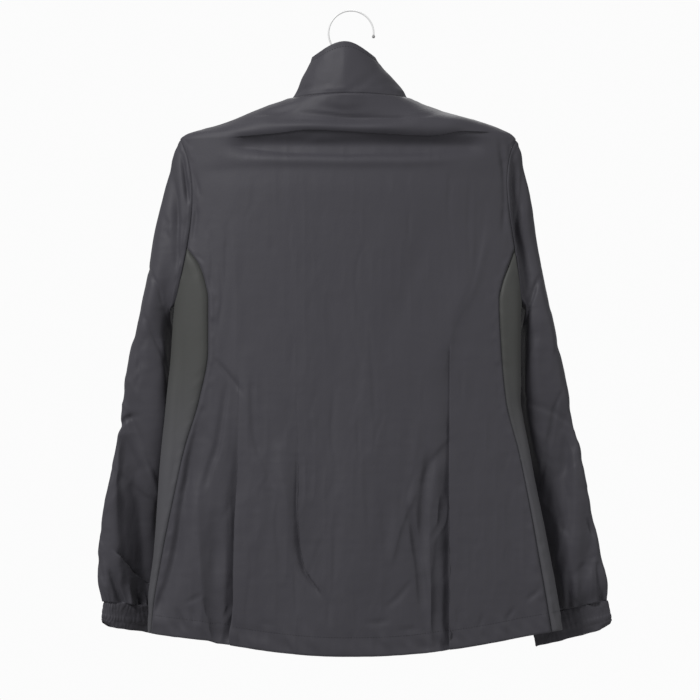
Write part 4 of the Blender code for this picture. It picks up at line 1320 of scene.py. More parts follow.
def fade_effect() -> NodeTree:
    """One dye passing into another down the cloth: gives the colour."""
    effect = Effect("Dye Fade", (("Colour", "Color", (0.1, 0.1, 0.1, 1.0)),
                                 ("Low Colour", "Color", (0.1, 0.1, 0.1, 1.0)),
                                 ("High", "Float", -0.38), ("Low", "Float", -0.56)),
                    (("Colour", "Color"),))
    parts = effect.node("SeparateXYZ")
    effect.link(effect.node("TexCoord").outputs["Object"], parts.inputs[0])
    share = effect.node("MapRange", interpolation_type="SMOOTHSTEP")
    for socket, value in (("Value", parts.outputs["Z"]), ("From Min", effect.inputs["High"]),
                          ("From Max", effect.inputs["Low"])):
        effect.link(value, share.inputs[socket])
    effect.link(mix_colours(effect.tree, share.outputs["Result"], effect.inputs["Colour"],
                            effect.inputs["Low Colour"]), effect.outputs["Colour"])
    return effect.tree


def grain_effect() -> NodeTree:
    """Fine grain of a hard surface: gives a normal and a mask."""
    effect = Effect("Fine Grain", (("Size", "Float", 0.0004), ("Depth", "Float", 0.00005)),
                    (("Normal", "Vector"), ("Mask", "Float")))
    where = effect.node("TexCoord")
    scale = effect.node("VectorMath", operation="DIVIDE")
    effect.link(where.outputs["Object"], scale.inputs[0])
    effect.link(effect.inputs["Size"], scale.inputs[1])
    node = effect.node("TexNoise")
    node.inputs["Scale"].default_value = 1.0
    effect.link(scale.outputs[0], node.inputs["Vector"])
    bump = effect.node("Bump")
    effect.link(effect.inputs["Depth"], bump.inputs["Distance"])
    effect.link(node.outputs["Fac"], bump.inputs["Height"])
    effect.link(bump.outputs["Normal"], effect.outputs["Normal"])
    effect.link(node.outputs["Fac"], effect.outputs["Mask"])
    return effect.tree


CRINKLE = crinkle_effect()
MOTTLE = mottle_effect()
FADE = fade_effect()
GRAIN = grain_effect()


@dataclass(frozen=True)
class ClothFinish:
    """A nylon cloth.

    slot: the material it is in the record, not used here; colour: its dye; rough: its roughness;
    crinkle, weave: how strongly each shows; depth: of both together, in metres; mottle: how
    uneven its shade is; sheen: the bright edge where it turns away; low_colour: what its dye
    passes into lower down.
    """

    name: str
    slot: str
    colour: Triple
    rough: float = 0.6
    crinkle: float = 0.4
    weave: float = 0.25
    depth: float = 0.00016
    mottle: float = 0.3
    sheen: float = 0.06
    specular: float = 0.3
    low_colour: Triple | None = None

    def make(self) -> Material:
        """Build the material."""
        shade = Shade(self.name)
        mottle = shade.place(MOTTLE, Amount=self.mottle)
        crinkle = shade.place(CRINKLE, Crinkle=self.crinkle, Weave=self.weave, Depth=self.depth)
        low = self.low_colour or self.colour
        dye = shade.place(FADE, Colour=(*self.colour, 1.0), Low_Colour=(*low, 1.0)).outputs[0]
        half = shade.tree.nodes.new("ShaderNodeMath")
        half.operation = "MULTIPLY"
        half.use_clamp = True
        half.inputs[1].default_value = 0.5
        shade.tree.links.new(mottle.outputs["Shade"], half.inputs[0])
        tint = shade.mix(half.outputs[0], (0.72, 0.72, 0.72), (1.28, 1.28, 1.28))
        shade.feed(mix_colours(shade.tree, 1.0, dye, tint, "MULTIPLY"), "Base Color")
        shade.feed(crinkle.outputs["Normal"], "Normal")
        shade.set("Roughness", self.rough)
        shade.set("Specular IOR Level", self.specular)
        shade.set("Sheen Weight", self.sheen)
        shade.set("Sheen Roughness", 0.5)
        return shade.material


@dataclass(frozen=True)
class HardFinish:
    """A metal or a moulded plastic.

    slot: the material it is in the record, not used here; colour, worn: its colour, and where
    it is rubbed; metal: 1 for bare metal; rough: its roughness; grain, depth: size and depth of
    its grain, in metres.
    """

    name: str
    slot: str
    colour: Triple
    worn: Triple
    metal: float
    rough: float
    grain: float
    depth: float

    def make(self) -> Material:
        """Build the material."""
        shade = Shade(self.name)
        grain = shade.place(GRAIN, Size=self.grain, Depth=self.depth)
        shade.feed(shade.mix(grain.outputs["Mask"], self.colour, self.worn), "Base Color")
        shade.feed(grain.outputs["Normal"], "Normal")
        shade.set("Metallic", self.metal)
        shade.set("Roughness", self.rough)
        return shade.material


CRINKLED_NYLON = ClothFinish("Crinkled Nylon", "shell_nylon", (0.052, 0.050, 0.060))
SIDE_NYLON = ClothFinish("Side Nylon", "side_nylon", (0.056, 0.0572, 0.0545), crinkle=0.3,
                         mottle=0.2, depth=0.0002, low_colour=(0.074, 0.073, 0.081))
SHIRRED_NYLON = ClothFinish("Shirred Nylon", "cuff_shirring", (0.050, 0.048, 0.057),
                            crinkle=0.5, rough=0.65)
THREAD = ClothFinish("Sewing Thread", "shell_nylon", (0.036, 0.035, 0.042), crinkle=0.0,
                     weave=0.6, depth=0.0001, mottle=0.1)
ZIP_TAPE = ClothFinish("Woven Zip Tape", "zip_tape_black", (0.016, 0.016, 0.018), rough=0.8,
                       crinkle=0.0, weave=1.0, depth=0.0003, mottle=0.1)
ZIP_TEETH = HardFinish("Moulded Teeth", "zip_teeth_black", (0.022, 0.022, 0.024),
                       (0.034, 0.034, 0.036), 0.0, 0.38, 0.0008, 0.00004)
ZIP_METAL = HardFinish("Dark Nickel", "slider_metal", (0.16, 0.16, 0.17), (0.26, 0.26, 0.27),
                       1.0, 0.34, 0.0006, 0.00002)
DRAWN_WIRE = HardFinish("Coated Wire", "hanger_wire", (0.86, 0.86, 0.86), (0.90, 0.90, 0.90),
                        0.0, 0.30, 0.0012, 0.00003)
DIPPED_TIP = HardFinish("Dipped Tip", "hook_tip_black", (0.30, 0.30, 0.30),
                        (0.36, 0.36, 0.36), 0.0, 0.45, 0.001, 0.00004)


# ---- the parts


@dataclass
class Piece:
    """One cut piece of cloth.

    name: of the piece, as a maker calls it; flat: width and length of the cloth it is cut
    from, in metres, not used; held: how it is held, not used.
    """

    name: str
    flat: Pair
    held: str = "hung"

    def dress(self, item: Object, area: float) -> Object:
        """Args:
            item: its object.
            area: of the cloth as cut, in square metres.

        Returns:
            The object.
        """
        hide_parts(self.name)
        LOG.info("%s: %d faces, %.4f square metres", item.name, len(item.data.polygons), area)
        return item


@dataclass
class StitchRow:
    """A row of thread stitches along a line on the cloth.

    pitch: from one stitch to the next; share: how much of that the stitch covers; thick: the
    thread's thickness.
    """

    pitch: float = 3.2
    share: float = 0.74
    thick: float = 0.42

    def sew(self, name: str, path: Array, outs: Array, material: Material,
            finish: ClothFinish) -> Object:
        """Make the row as one object.

        Args:
            name: of the object.
            path, outs: the line and its outward directions.
            material, finish: the thread, though finish is not used.

        Returns:
            The object.
        """
        length = np.concatenate([[0], np.cumsum(np.linalg.norm(np.diff(path, axis=0), axis=1))])
        vertices, faces = [], []
        rng = np.random.default_rng(len(name))
        for start in np.arange(self.pitch, length[-1] - self.pitch, self.pitch):
            ends = [start, start + self.pitch * self.share * rng.uniform(0.9, 1.05)]
            p = np.array([[np.interp(e, length, path[:, k]) for k in range(3)] for e in ends])
            out = unit(np.array([np.interp(start, length, outs[:, k]) for k in range(3)]))
            way = unit(p[1] - p[0])
            side = np.cross(way, out)
            base = len(vertices)
            vertices.append(p[0] - out * self.thick * 0.35)
            for t, wide in ((0.18, 0.85), (0.5, 1.0), (0.82, 0.85)):
                centre = p[0] * (1 - t) + p[1] * t + out * self.thick * 0.1
                for k in range(6):
                    angle = k * math.pi / 3
                    vertices.append(centre + (side * math.cos(angle) + out * math.sin(angle))
                                    * self.thick / 2 * wide)
            vertices.append(p[1] - out * self.thick * 0.35)
            for k in range(6):
                n = (k + 1) % 6
                faces.append((base, base + 1 + n, base + 1 + k))
                for ring in (1, 7):
                    faces.append((base + ring + k, base + ring + n, base + ring + 6 + n,
                                  base + ring + 6 + k))
                faces.append((base + 13 + k, base + 13 + n, base + 19))
        item = make_object(name, np.array(vertices), faces, material)
        return item


def level_rows(low: float, high: float, pitch: float) -> Array:
    """Levels from one height to another, about a pitch apart."""
    return np.linspace(low, high, max(2, int(round((high - low) / pitch)) + 1))


@dataclass
class Body:
    """Back, fronts, side panels and collar.

    pitch: spacing of the rows; back_rows: of the back; back_cells, front_cells, side_cells,
    collar_cells: cells across each piece; hem_dip, hem_lip: shape of the cloth at the row that
    holds the hem; hem_ripple: height of the ripples below it; threads: the rows of stitches.
    """

    pitch: float = 2.3
    back_rows: int = 275
    back_cells: int = 336
    front_cells: int = 140
    side_cells: int = 40
    collar_cells: int = 260
    hem_dip: float = 0.16
    hem_lip: float = 0.08
    hem_ripple: float = 1.7
    threads: StitchRow = field(default_factory=StitchRow)

    def surface(self, turns: Array, levels: Array) -> Shell:
        """A shell on the body's tube."""
        return Shell(FORM.point(turns, levels), FORM.out(turns, levels))

    def hem(self, shell: Shell, seed: int) -> None:
        """Shape the turned hem: a dip at its stitches and ripples that end beside the zip."""
        rise = shell.rise
        dip = -self.hem_dip * bell(rise - HEM_CASING, 1.6)
        lip = self.hem_lip * bell(rise - HEM_CASING + 5, 4.0)
        plain = shell.plain
        slant = plain[..., 0] + plain[..., 1] * 0.6 + rise * 0.55
        wave = Noise(seed)(np.stack([slant / 9.0, plain[..., 1] / 40.0, rise / 24.0], -1))
        band = bell(rise - HEM_CASING * 0.55, 13.0)
        by_zip = bell(plain[..., 0], ZIP_CALM) * (plain[..., 1] > 0)
        shell.push(dip + lip + self.hem_ripple * wave * band * (1 - 0.96 * by_zip))

    def finish_panel(self, shell: Shell, seed: int, crumple: Crumple = CRUMPLE,
                     seams: Sequence[str] = ("left", "right", "top")) -> None:
        """Give a panel its crinkle, its hem and its seams."""
        z = shell.plain[..., 2]
        amount = 0.45 + 0.75 * ease(-380.0, -560.0, z)
        amount = amount * (1 - 0.6 * ease(-176.0, -120.0, z))
        shell.push(crumple.push(shell.plain) * amount)
        self.hem(shell, seed)
        shell.sew(seams, seed, 0.15 + 1.85 * ease(-150.0, -290.0, z))

    def back(self) -> Shell:
        """The back panel, from hem to neck."""
        fine = np.linspace(HEM, NECK, 2000)
        crowd = np.cumsum(1 + 1.6 * bell(fine - SHOULDER_FOLD, 14.0))
        levels = np.interp(np.linspace(crowd[0], crowd[-1], self.back_rows), crowd, fine)
        left = FORM.panel_edge(Side.LEFT, False, levels)
        right = FORM.panel_edge(Side.RIGHT, False, levels)
        turns = FORM.spread(left, right, levels, self.back_cells, (-134.0, -61.0, 113.5))
        shell = self.surface(turns, levels[:, None] + turns * 0)
        shell.crease(BACK_CREASES, Face.BACK)
        shell.crease(BACK_LAPS, Face.BACK)
        scatter = CreaseScatter(70, (-185, 195), (-735, -470), (16, 70), (1.6, 3.4),
                                (0.15, 0.5), 0.3, 17).creases()
        scatter += CreaseScatter(56, (-175, 180), (-470, -205), (12, 60), (1.8, 4.0),
                                 (0.1, 0.35), 0.2, 29).creases()
        shell.crease(scatter, Face.BACK)
        self.finish_panel(shell, 5)
        return shell

    def front(self, side: Side) -> Shell:
        """One front, from the side panel's seam to the zip."""
        levels = level_rows(HEM, NECK, self.pitch)
        outer = FORM.panel_edge(side, True, levels)
        middle = FORM.rings.value("mid", levels)
        inner = FORM.turn_at_x(middle * side.value + ZIP_HALF_OPENING, levels, side, True)
        turns = FORM.spread(outer, inner, levels, self.front_cells)
        shell = self.surface(turns, levels[:, None] + turns * 0)
        flat = ease(4.0, 22.0, shell.along[:, -1:] - shell.along)
        before = shell.points.copy()
        shell.crease(FRONT_CREASES, Face.FRONT)
        low, high = sorted((side.value * 24, side.value * 180))
        shell.crease(CreaseScatter(80, (low, high), (-730, -240), (14, 60), (1.6, 3.4),
                                   (0.35, 1.0), 0.3, 41 + side.value).creases(), Face.FRONT)
        shell.points = before + (shell.points - before) * flat[..., None]
        self.finish_panel(shell, 7 + side.value, seams=("left", "top"))
        return shell

    def side_panel(self, side: Side) -> Shell:
        """One side panel, from the hem up to the lower part of the armhole."""
        rows = level_rows(HEM, UNDERARM, self.pitch)
        share = np.linspace(0, 1, self.side_cells + 1)
        top_turn, top_level = FORM.armhole(JUNCTION + 2 * (1 - JUNCTION) * share, side)
        rise = np.linspace(0, 1, len(rows))[:, None]
        levels = HEM + (top_level[None, :] - HEM) * rise
        turns = np.zeros(levels.shape)
        at_top = np.zeros(len(share))
        for j, s in enumerate(share):
            first = FORM.seam_turn(side, False, levels[:, j])
            last = FORM.seam_turn(side, True, levels[:, j])
            turns[:, j] = first + (last - first) * s
            at_top[j] = top_turn[j] - turns[-1, j]
        turns += at_top[None, :] * rise ** 4
        shell = self.surface(turns, levels)
        shell.crease(SIDE_CREASES, Face.BACK, -0.2, 0.3)
        small = CreaseScatter(26, (-245, 245), (-720, -340), (16, 60), (2.0, 4.0), (0.3, 0.8),
                              0.2, 57 + side.value)
        shell.crease(small.creases(), Face.BACK, -1.5, -1.2)
        self.finish_panel(shell, 9 + side.value, SMOOTH_CRUMPLE)
        return shell

    def collar(self) -> Shell:
        """The stand collar, from zip edge to zip edge round the back."""
        levels = level_rows(NECK, COLLAR_TOP, 1.8)
        middle = FORM.rings.value("mid", levels)
        left = FORM.turn_at_x(-middle + ZIP_HALF_OPENING, levels, Side.LEFT, True)
        right = FORM.turn_at_x(middle + ZIP_HALF_OPENING, levels, Side.RIGHT, True)
        turns = FORM.spread(left, right, levels, self.collar_cells)
        shell = self.surface(turns, levels[:, None] + turns * 0)
        shell.crease(COLLAR_CREASES, Face.BACK)
        shell.crease(COLLAR_FRONT_CREASES, Face.FRONT)
        shell.push(SMOOTH_CRUMPLE.push(shell.plain))
        below_edge = shell.rise[-1:] - shell.rise
        shell.push(0.45 * bell(below_edge, 2.2)
                   - 0.5 * bell(below_edge - COLLAR_STITCHES, 1.3))
        seam = shell.rise
        shell.push(0.2 * bell(seam - 6.0, 3.0))
        shell.sew(("bottom",), 15, 0.1)
        return shell

    def stitches(self, name: str, shell: Shell, thread: Material,
                 distance: float = HEM_CASING, axis: int = 0,
                 from_end: bool = False) -> Object:
        """A row of stitches on a piece, along a line that Shell.path_at gives."""
        path, outs = shell.path_at(distance, axis, from_end, STITCH_LIFT)
        return self.threads.sew(name, path, outs, thread, THREAD)

    def build(self, cloth: Material, side_cloth: Material,
              thread: Material) -> None:
        """Make every piece of the body."""
        back = self.back()
        row = self.stitches("hem_stitches_back", back, thread)
        Piece("back_panel", (0.52, 0.68)).dress(
            back.build("back_cloth", cloth, ("bottom",), ("left", "right", "top")),
            flat_area(back, BACK_HEM))
        for side in Side:
            word = side.word
            front = self.front(side)
            rows = [self.stitches(f"hem_stitches_front_{word}", front, thread),
                    self.stitches(f"zip_stitches_{word}", front, thread, ZIP_STITCHES, 1, True)]
            Piece(f"front_{word}", (0.29, 0.64)).dress(
                front.build(f"front_cloth_{word}", cloth, ("right", "bottom"), ("left", "top"),
                            12.0),
                flat_area(front))
            panel = self.side_panel(side)
            row = self.stitches(f"hem_stitches_side_{word}", panel, thread)
            Piece(f"side_panel_{word}", (0.16, 0.48)).dress(
                panel.build(f"side_cloth_{word}", side_cloth, ("bottom",),
                            ("left", "right", "top")),
                flat_area(panel))
        collar = self.collar()
        row = self.stitches("collar_stitches", collar, thread, COLLAR_STITCHES, 0, True)
        Piece("collar", (0.40, 0.08)).dress(
            collar.build("collar_cloth", cloth, ("left", "right", "top"), ("bottom",), 9.0),
            flat_area(collar))


# A hoop across a sleeve: outer and inner end, half its depth, and the way it faces in degrees
SLEEVE_HOOPS = {
    Side.RIGHT: (
        (232, -6, -372, 196, 66, -398, 17, 60),
        (242, -4, -410, 186, 87, -438, 23, 58),
        (257, 0, -470, 174, 87, -484, 23, 47),
        (279, 4, -571, 187, 76, -577, 21, 38),
        (294, 8, -640, 204, 68, -648, 20, 34),
        (301, 12, -670, 210, 58, -688, 19, 27),
        (299, 18, -690.5, 215, 50, -711.5, 13, 21),
    ),
    Side.LEFT: (
        (243, -6, -366, 206, 66, -398, 17, 60),
        (253, -4, -396, 194, 87, -438, 23, 58),
        (268, 0, -462, 182, 90, -482, 23, 47),
        (288, 4, -571, 200, 80, -577, 21, 41),
        (296, 8, -630, 211, 72, -640, 20, 37),
        (297, 10, -666, 216, 68, -680, 18, 36),
        (290, 12, -691.5, 220, 64, -702.5, 13, 36),
    ),
}
CUFF_HOOPS = {
    Side.RIGHT: ((302.5, 20, -691, 212.5, 49, -712, 11.5, 18),
                 (307.5, 22, -723, 220, 50, -748, 11.5, 18)),
    Side.LEFT: ((290, 12, -692, 219, 64, -703, 11.5, 36),
                (293, 12, -721, 222, 64, -735, 11.5, 36)),
}


@dataclass(frozen=True)
class Hoop:
    """One flattened hoop of a sleeve."""

    row: tuple[float, ...]
    side: Side

    @property
    def ends(self) -> tuple[Array, Array]:
        """Outer and inner end."""
        r, s = self.row, self.side.value
        return np.array([r[0] * s, r[1], r[2]]), np.array([r[3] * s, r[4], r[5]])

    @property
    def across(self) -> Array:
        """Direction across the hoop, towards the back."""
        face = math.radians(self.row[7])
        return np.array([-self.side.value * math.sin(face), -math.cos(face), 0.0])

    @property
    def axis(self) -> Array:
        """Direction square to the hoop."""
        outer, inner = self.ends
        return unit(np.cross(outer - inner, self.across))

    def points(self, count: int) -> Array:
        """Points round the hoop, from below the shoulder tip and going round the back."""
        outer, inner = self.ends
        b = np.arange(count) * 2 * math.pi / count - math.radians(HOOP_START)
        swell = 1 + 0.12 * np.sin(b) ** 2
        return ((outer + inner) / 2 + np.cos(b)[:, None] * (outer - inner) / 2
                + (np.sin(b) * swell)[:, None] * self.across * self.row[6])


@dataclass
class SleeveAndCuff:
    """One set-in sleeve with its shirred cuff.

    side: which arm; rows, columns: of the sleeve's mesh; roll: how far the head of the sleeve
    stands out of the armhole; gathers: how many broad and narrow gathers the cuff draws in;
    gather, gather_narrow: depth of each; cuff_rows, cuff_columns: of the cuff's mesh; ribs,
    rib_depth: round the cuff; elastics: rows of elastic thread; corner: how far the outer end
    of the lower edge turns up.
    """

    side: Side
    rows: int = 250
    columns: int = 168
    roll: float = 6.0
    gathers: tuple[int, int] = (10, 23)
    gather: float = 2.2
    gather_narrow: float = 1.1
    cuff_rows: int = 30
    cuff_columns: int = 352
    ribs: int = 48
    rib_depth: float = 0.17
    elastics: int = 5
    corner: float = 6.0

    def sleeve(self) -> Shell:
        """The sleeve, from the cuff's seam up to the armhole."""
        side = self.side
        steps = np.arange(self.columns) / self.columns * 2
        turn, level = FORM.armhole(steps, side)
        start, facing = FORM.point(turn, level), FORM.out(turn, level)
        hoops = [start] + [Hoop(r, side).points(self.columns) for r in SLEEVE_HOOPS[side]]
        fan = hoops[1] - start
        roll = np.array([side.value * self.roll, 0, 0])
        hoops[1:1] = [start + 0.12 * fan + facing + roll * 0.7, start + 0.5 * fan + roll]
        hoops = np.array(hoops)
        trial = np.linspace(0, 1, 120)
        middle = np.array([through(hoops, t).mean(axis=0) for t in trial])
        length = np.concatenate([[0], np.cumsum(np.linalg.norm(np.diff(middle, axis=0), axis=1))])
        length += trial * length[-1] * 0.35
        shares = np.interp(np.linspace(0, length[-1], self.rows), length, trial)
        stack = []
        for t in shares:
            ring = through(hoops, t)
            near = max(0.0, (t - 0.8) / 0.2)
            broad = np.cos(steps * math.pi * self.gathers[0]) * self.gather
            uneven = 2.0 * np.sin(steps * math.pi * 2)
            narrow = np.cos(steps * math.pi * self.gathers[1] + uneven) * self.gather_narrow
            wave = broad + narrow * near
            ring = ring + unit(ring - ring.mean(axis=0)) * (wave * near ** 1.5)[:, None]
            stack.append(ring)
        points = np.array(stack)[::-1]
        outward = unit(points - points.mean(axis=1, keepdims=True))
        outward[-1] = facing
        shell = Shell(points, outward, closed=True)
        left = side is Side.LEFT
        shell.crease(LEFT_SLEEVE_CREASES if left else RIGHT_SLEEVE_CREASES, Face.BACK, -0.4, 0.2)
        shell.crease(LEFT_SLEEVE_FRONT_CREASES if left else RIGHT_SLEEVE_FRONT_CREASES,
                     Face.FRONT, 0.0, 0.4)
        low, high = sorted((side.value * 200, side.value * 300))
        for face, seed in ((Face.BACK, 61), (Face.FRONT, 67)):
            shell.crease(CreaseScatter(46, (low, high), (-690, -200), (14, 70), (1.8, 4.0),
                                       (0.4, 1.1), 0.35, seed + side.value).creases(), face)
            shell.crease(CreaseScatter(18, (low, high), (-690, -420), (14, 44), (1.8, 4.0),
                                       (0.4, 1.2), 1.8, seed + 5 + side.value).creases(), face)
        calm = ease(0, 40, shell.rise[-1:] - shell.rise) * 0.7 + 0.3
        shell.push(CRUMPLE.push(shell.plain) * calm)
        shell.sew(("top",), 13, 0.8)
        return self.into_cuff(shell)

    def into_cuff(self, shell: Shell) -> Shell:
        """Lead the sleeve's lower end into the cuff."""
        hoop = Hoop(CUFF_HOOPS[self.side][0], self.side)
        plan = hoop.points(self.columns)
        inward = unit(plan.mean(axis=0) - plan)
        down = hoop.axis * (-1.0 if hoop.axis[2] > 0 else 1.0)
        first = shell.points[0]
        meeting = plan + inward * 1.0
        shell.points = np.concatenate([[meeting + down * 3.0, meeting + down * 0.6,
                                        first * 0.45 + (meeting - down * 0.3) * 0.55],
                                       shell.points])
        for name in ("plain", "outward"):
            value = getattr(shell, name)
            setattr(shell, name, np.concatenate([value[:1]] * 3 + [value]))
        return shell

    def cuff(self) -> Shell:
        """The cuff, gathered by rows of elastic thread."""
        first, last = (np.array(r, float) for r in CUFF_HOOPS[self.side])
        angle = np.arange(self.cuff_columns) * 2 * math.pi / self.cuff_columns
        rings, normals = [], []
        for share in np.linspace(1, 0, self.cuff_rows):
            row = first * (1 - share) + last * share
            hoop = Hoop(tuple(row), self.side)
            plan = hoop.points(self.cuff_columns)
            normal = unit(np.cross(np.roll(plan, -1, 0) - np.roll(plan, 1, 0), hoop.axis))
            if np.sum(normal * (plan - plan.mean(axis=0))) < 0:
                normal = -normal
            around = [np.cos(angle) * 4, np.sin(angle) * 4]
            sway = Noise(71)(np.stack([*around, angle * 0 + share * 3.4 + self.side.value], -1))
            uneven = Noise(73)(np.stack([*around, angle * 0 + share * 5.0], -1))
            rib = np.cos(angle * self.ribs + sway * 4.0)
            line = math.cos(math.pi * share * (self.elastics - 1)) ** 2
            swell = 0.8 * math.sin(math.pi * share) - 0.3 * share - 0.1
            depth = self.rib_depth * (0.7 + 0.3 * (1 - line ** 3)) * (1 + 0.9 * uneven)
            raised = rib * depth + swell + 0.8 * uneven - 0.25 * line ** 4
            corner = np.maximum(np.cos(angle - math.radians(HOOP_START)), 0) ** 5
            lift = self.corner * corner * share ** 3 - 0.5 * uneven * share
            rings.append(plan + normal * raised[:, None] + np.array([0, 0, 1.0]) * lift[:, None])
            normals.append(normal)
        return Shell(np.array(rings), np.array(normals), closed=True)

    def build(self, cloth: Material, cuff_cloth: Material) -> None:
        """Make the sleeve and its cuff."""
        word = self.side.word
        sleeve = self.sleeve()
        Piece(f"sleeve_{word}", (0.44, 0.62)).dress(
            sleeve.build(f"sleeve_cloth_{word}", cloth, (), ("top",)),
            flat_area(sleeve))
        cuff = self.cuff()
        Piece(f"cuff_{word}", (0.42, 0.045), "gathered").dress(
            cuff.build(f"cuff_cloth_{word}", cuff_cloth, ("bottom",), ("top",), 5.0),
            flat_area(cuff))


def loft(rings: Sequence[Sequence[Array]], flip: bool = False,
         cyclic: bool = False) -> tuple[Array, list]:
    """Points and faces of a skin over rings of points.

    Args:
        rings: the rings, all with the same number of points.
        flip: turn the faces over.
        cyclic: the last ring joins the first, where the ends are closed otherwise.

    Returns:
        Vertices and faces.
    """
    index = np.arange(len(rings) * len(rings[0])).reshape(len(rings), -1)
    ends = [] if cyclic else [index[0, ::-1].tolist(), index[-1].tolist()]
    index = np.concatenate([index, index[:1]]) if cyclic else index
    beside = np.roll(index, -1, axis=1)
    quads = np.stack([index[:-1], beside[:-1], beside[1:], index[1:]], axis=-1)
    faces = quads.reshape(-1, 4).tolist() + ends
    return np.concatenate(rings), [face[::-1] for face in faces] if flip else faces


def wire_mesh(path: Array, radius: float, sides: int,
              cyclic: bool = False) -> tuple[Array, list]:
    """Points and faces of a round wire along a path.

    Args:
        path: the wire's middle line.
        radius: of the wire.
        sides: round the wire.
        cyclic: the wire closes on itself.

    Returns:
        Vertices and faces.
    """
    if cyclic:
        way = unit(np.roll(path, -1, axis=0) - np.roll(path, 1, axis=0))
    else:
        way = unit(np.gradient(path, axis=0))
    across = unit(np.cross(way[0], [0.31, 1.0, 0.17]))
    angle = np.arange(sides) * 2 * math.pi / sides
    rings = []
    for centre, ahead in zip(path, way):
        across = unit(across - ahead * float(across @ ahead))
        other = np.cross(ahead, across)
        rings.append(centre + radius * (np.cos(angle)[:, None] * across
                                        + np.sin(angle)[:, None] * other))
    return loft(rings, cyclic=cyclic)


def round_path(path: Array, times: int = 2) -> Array:
    """Round the bends of a path by cutting its corners."""
    for _ in range(times):
        low = path[:-1] * 0.75 + path[1:] * 0.25
        high = path[:-1] * 0.25 + path[1:] * 0.75
        path = np.concatenate([path[:1], np.stack([low, high], 1).reshape(-1, 3), path[-1:]])
    return path


